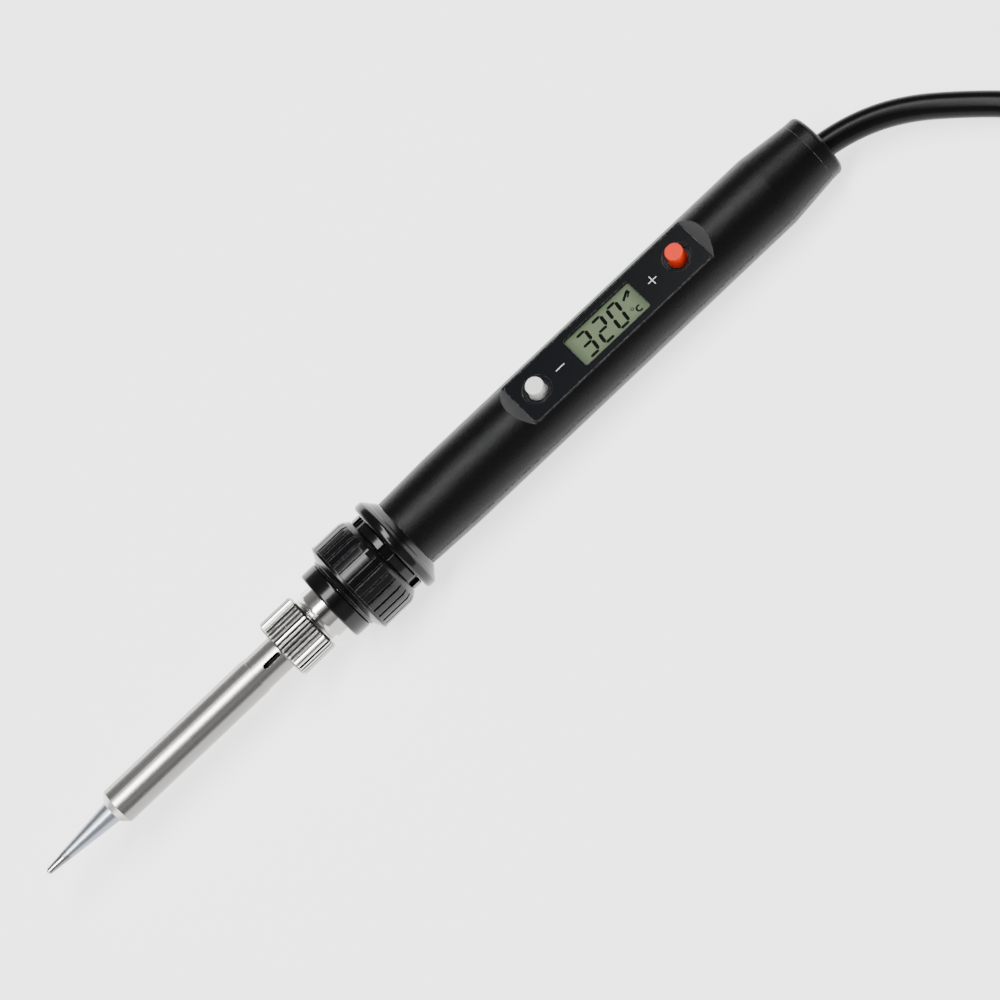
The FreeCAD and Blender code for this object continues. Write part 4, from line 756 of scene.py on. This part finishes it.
def bar(x0, y0, x1, y1, width, pointed=True):
    """A stroke from one point to another; pointed ends make it a display segment."""
    start, end = Vector((x0, y0)), Vector((x1, y1))
    ahead = (end - start).normalized()
    across = Vector((-ahead.y, ahead.x)) * width / 2
    shape = [start - across, end - across, end + across, start + across]
    if pointed:
        inset = ahead * width / 2
        shape = [start + inset - across, end - inset - across, end, end - inset + across,
                 start + inset + across, start]
    return [tuple(point) for point in shape]


def arc_strokes(x, y, radius, width, start, end, count):
    """An arc between two angles in degrees, as short strokes."""
    angles = [math.radians(start + (end - start) * i / count) for i in range(count + 1)]
    corners = [(x + radius * math.cos(angle), y + radius * math.sin(angle)) for angle in angles]
    return [bar(*here, *there, width, pointed=False) for here, there in zip(corners, corners[1:])]


# in mm: along the iron from the end of its tip, across it, and up from its axis
PRINT_THICK = 0.02
PRINT_SUNK = 0.01
FACE_TOP = top_of("control_panel")
MINUS_MARK_X = 150.5
PLUS_MARK_X = 177.0
MINUS_HALF, PLUS_HALF = 1.22, 1.14
STROKE = 0.2


def make_marks(look):
    """A minus behind the white button and a plus in front of the red one."""
    minus = [bar(MINUS_MARK_X - MINUS_HALF, 0, MINUS_MARK_X + MINUS_HALF, 0, STROKE, pointed=False)]
    plus = [bar(PLUS_MARK_X, -PLUS_HALF, PLUS_MARK_X, PLUS_HALF, STROKE, pointed=False),
            bar(PLUS_MARK_X - PLUS_HALF, 0, PLUS_MARK_X + PLUS_HALF, 0, STROKE, pointed=False)]
    low, high = FACE_TOP - PRINT_SUNK, FACE_TOP + PRINT_THICK
    for name, outlines in (("minus_mark", minus), ("plus_mark", plus)):
        solid_piece(name, outlines, low, high, look)


DIGITS = {"3": "abgcd", "2": "abged", "0": "abcdef"}
DIGIT_XS = (158.1, 162.5, 166.8)
DIGIT_LONG, DIGIT_WIDE = 5.65, 2.5
SLANT = math.tan(math.radians(7))
FLAT_STROKE, UPRIGHT_STROKE = 0.62, 0.78
SEGMENT_GAP = 0.1
# centre, radius, stroke, first and last angle in degrees, and number of strokes
DEGREE_SIGN = (169.8, -1.3, 0.33, 0.16, 0, 360, 14)
LETTER_C = (171.05, -2.25, 0.66, 0.42, 50, 310, 12)
HEATING_MARK = (
    ((169.7, 1.55), (171.7, 2.75), 0.58), ((171.65, 2.95), (171.8, 1.95), 0.62),
    ((171.7, 2.15), (170.9, 1.5), 0.36))     # start, end and width of each stroke


def digit(letter, x):
    """Seven-segment bars: a digit stands along +Y, reads along +X and leans towards +X."""
    half, wide = DIGIT_LONG / 2, DIGIT_WIDE / 2
    ends = {
        "a": (-wide, half, wide, half), "g": (-wide, 0, wide, 0), "d": (-wide, -half, wide, -half),
        "f": (-wide, half, -wide, 0), "b": (wide, half, wide, 0),
        "e": (-wide, 0, -wide, -half), "c": (wide, 0, wide, -half)}
    shapes = []
    for name in DIGITS[letter]:
        x0, y0, x1, y1 = ends[name]
        start, end = Vector((x0, y0)), Vector((x1, y1))
        gap = (end - start).normalized() * SEGMENT_GAP
        start, end = start + gap, end - gap
        width = FLAT_STROKE if name in "agd" else UPRIGHT_STROKE
        shapes.append(bar(x + start.x + start.y * SLANT, start.y, x + end.x + end.y * SLANT, end.y,
                          width))
    return shapes


def make_display(look):
    """The lit segments: three digits, the degree sign, C and a small heating mark."""
    top = top_of("display_cell")
    shapes = [shape for letter, x in zip("320", DIGIT_XS) for shape in digit(letter, x)]
    shapes += arc_strokes(*DEGREE_SIGN)
    shapes += arc_strokes(*LETTER_C)
    shapes += [bar(*start, *end, width, pointed=False) for start, end, width in HEATING_MARK]
    solid_piece("display_segments", shapes, top, top + PRINT_THICK, look)


# ---------------------------------------------------------------- the scene

make_camera()
looks = {slot: make() for slot, make in SLOT_LOOKS.items()}
make_cord(looks["cord_black"])
make_strip_light()
make_sky()
make_floor()
dress_nodes(looks)
make_marks(white_print())
make_display(display_segment())
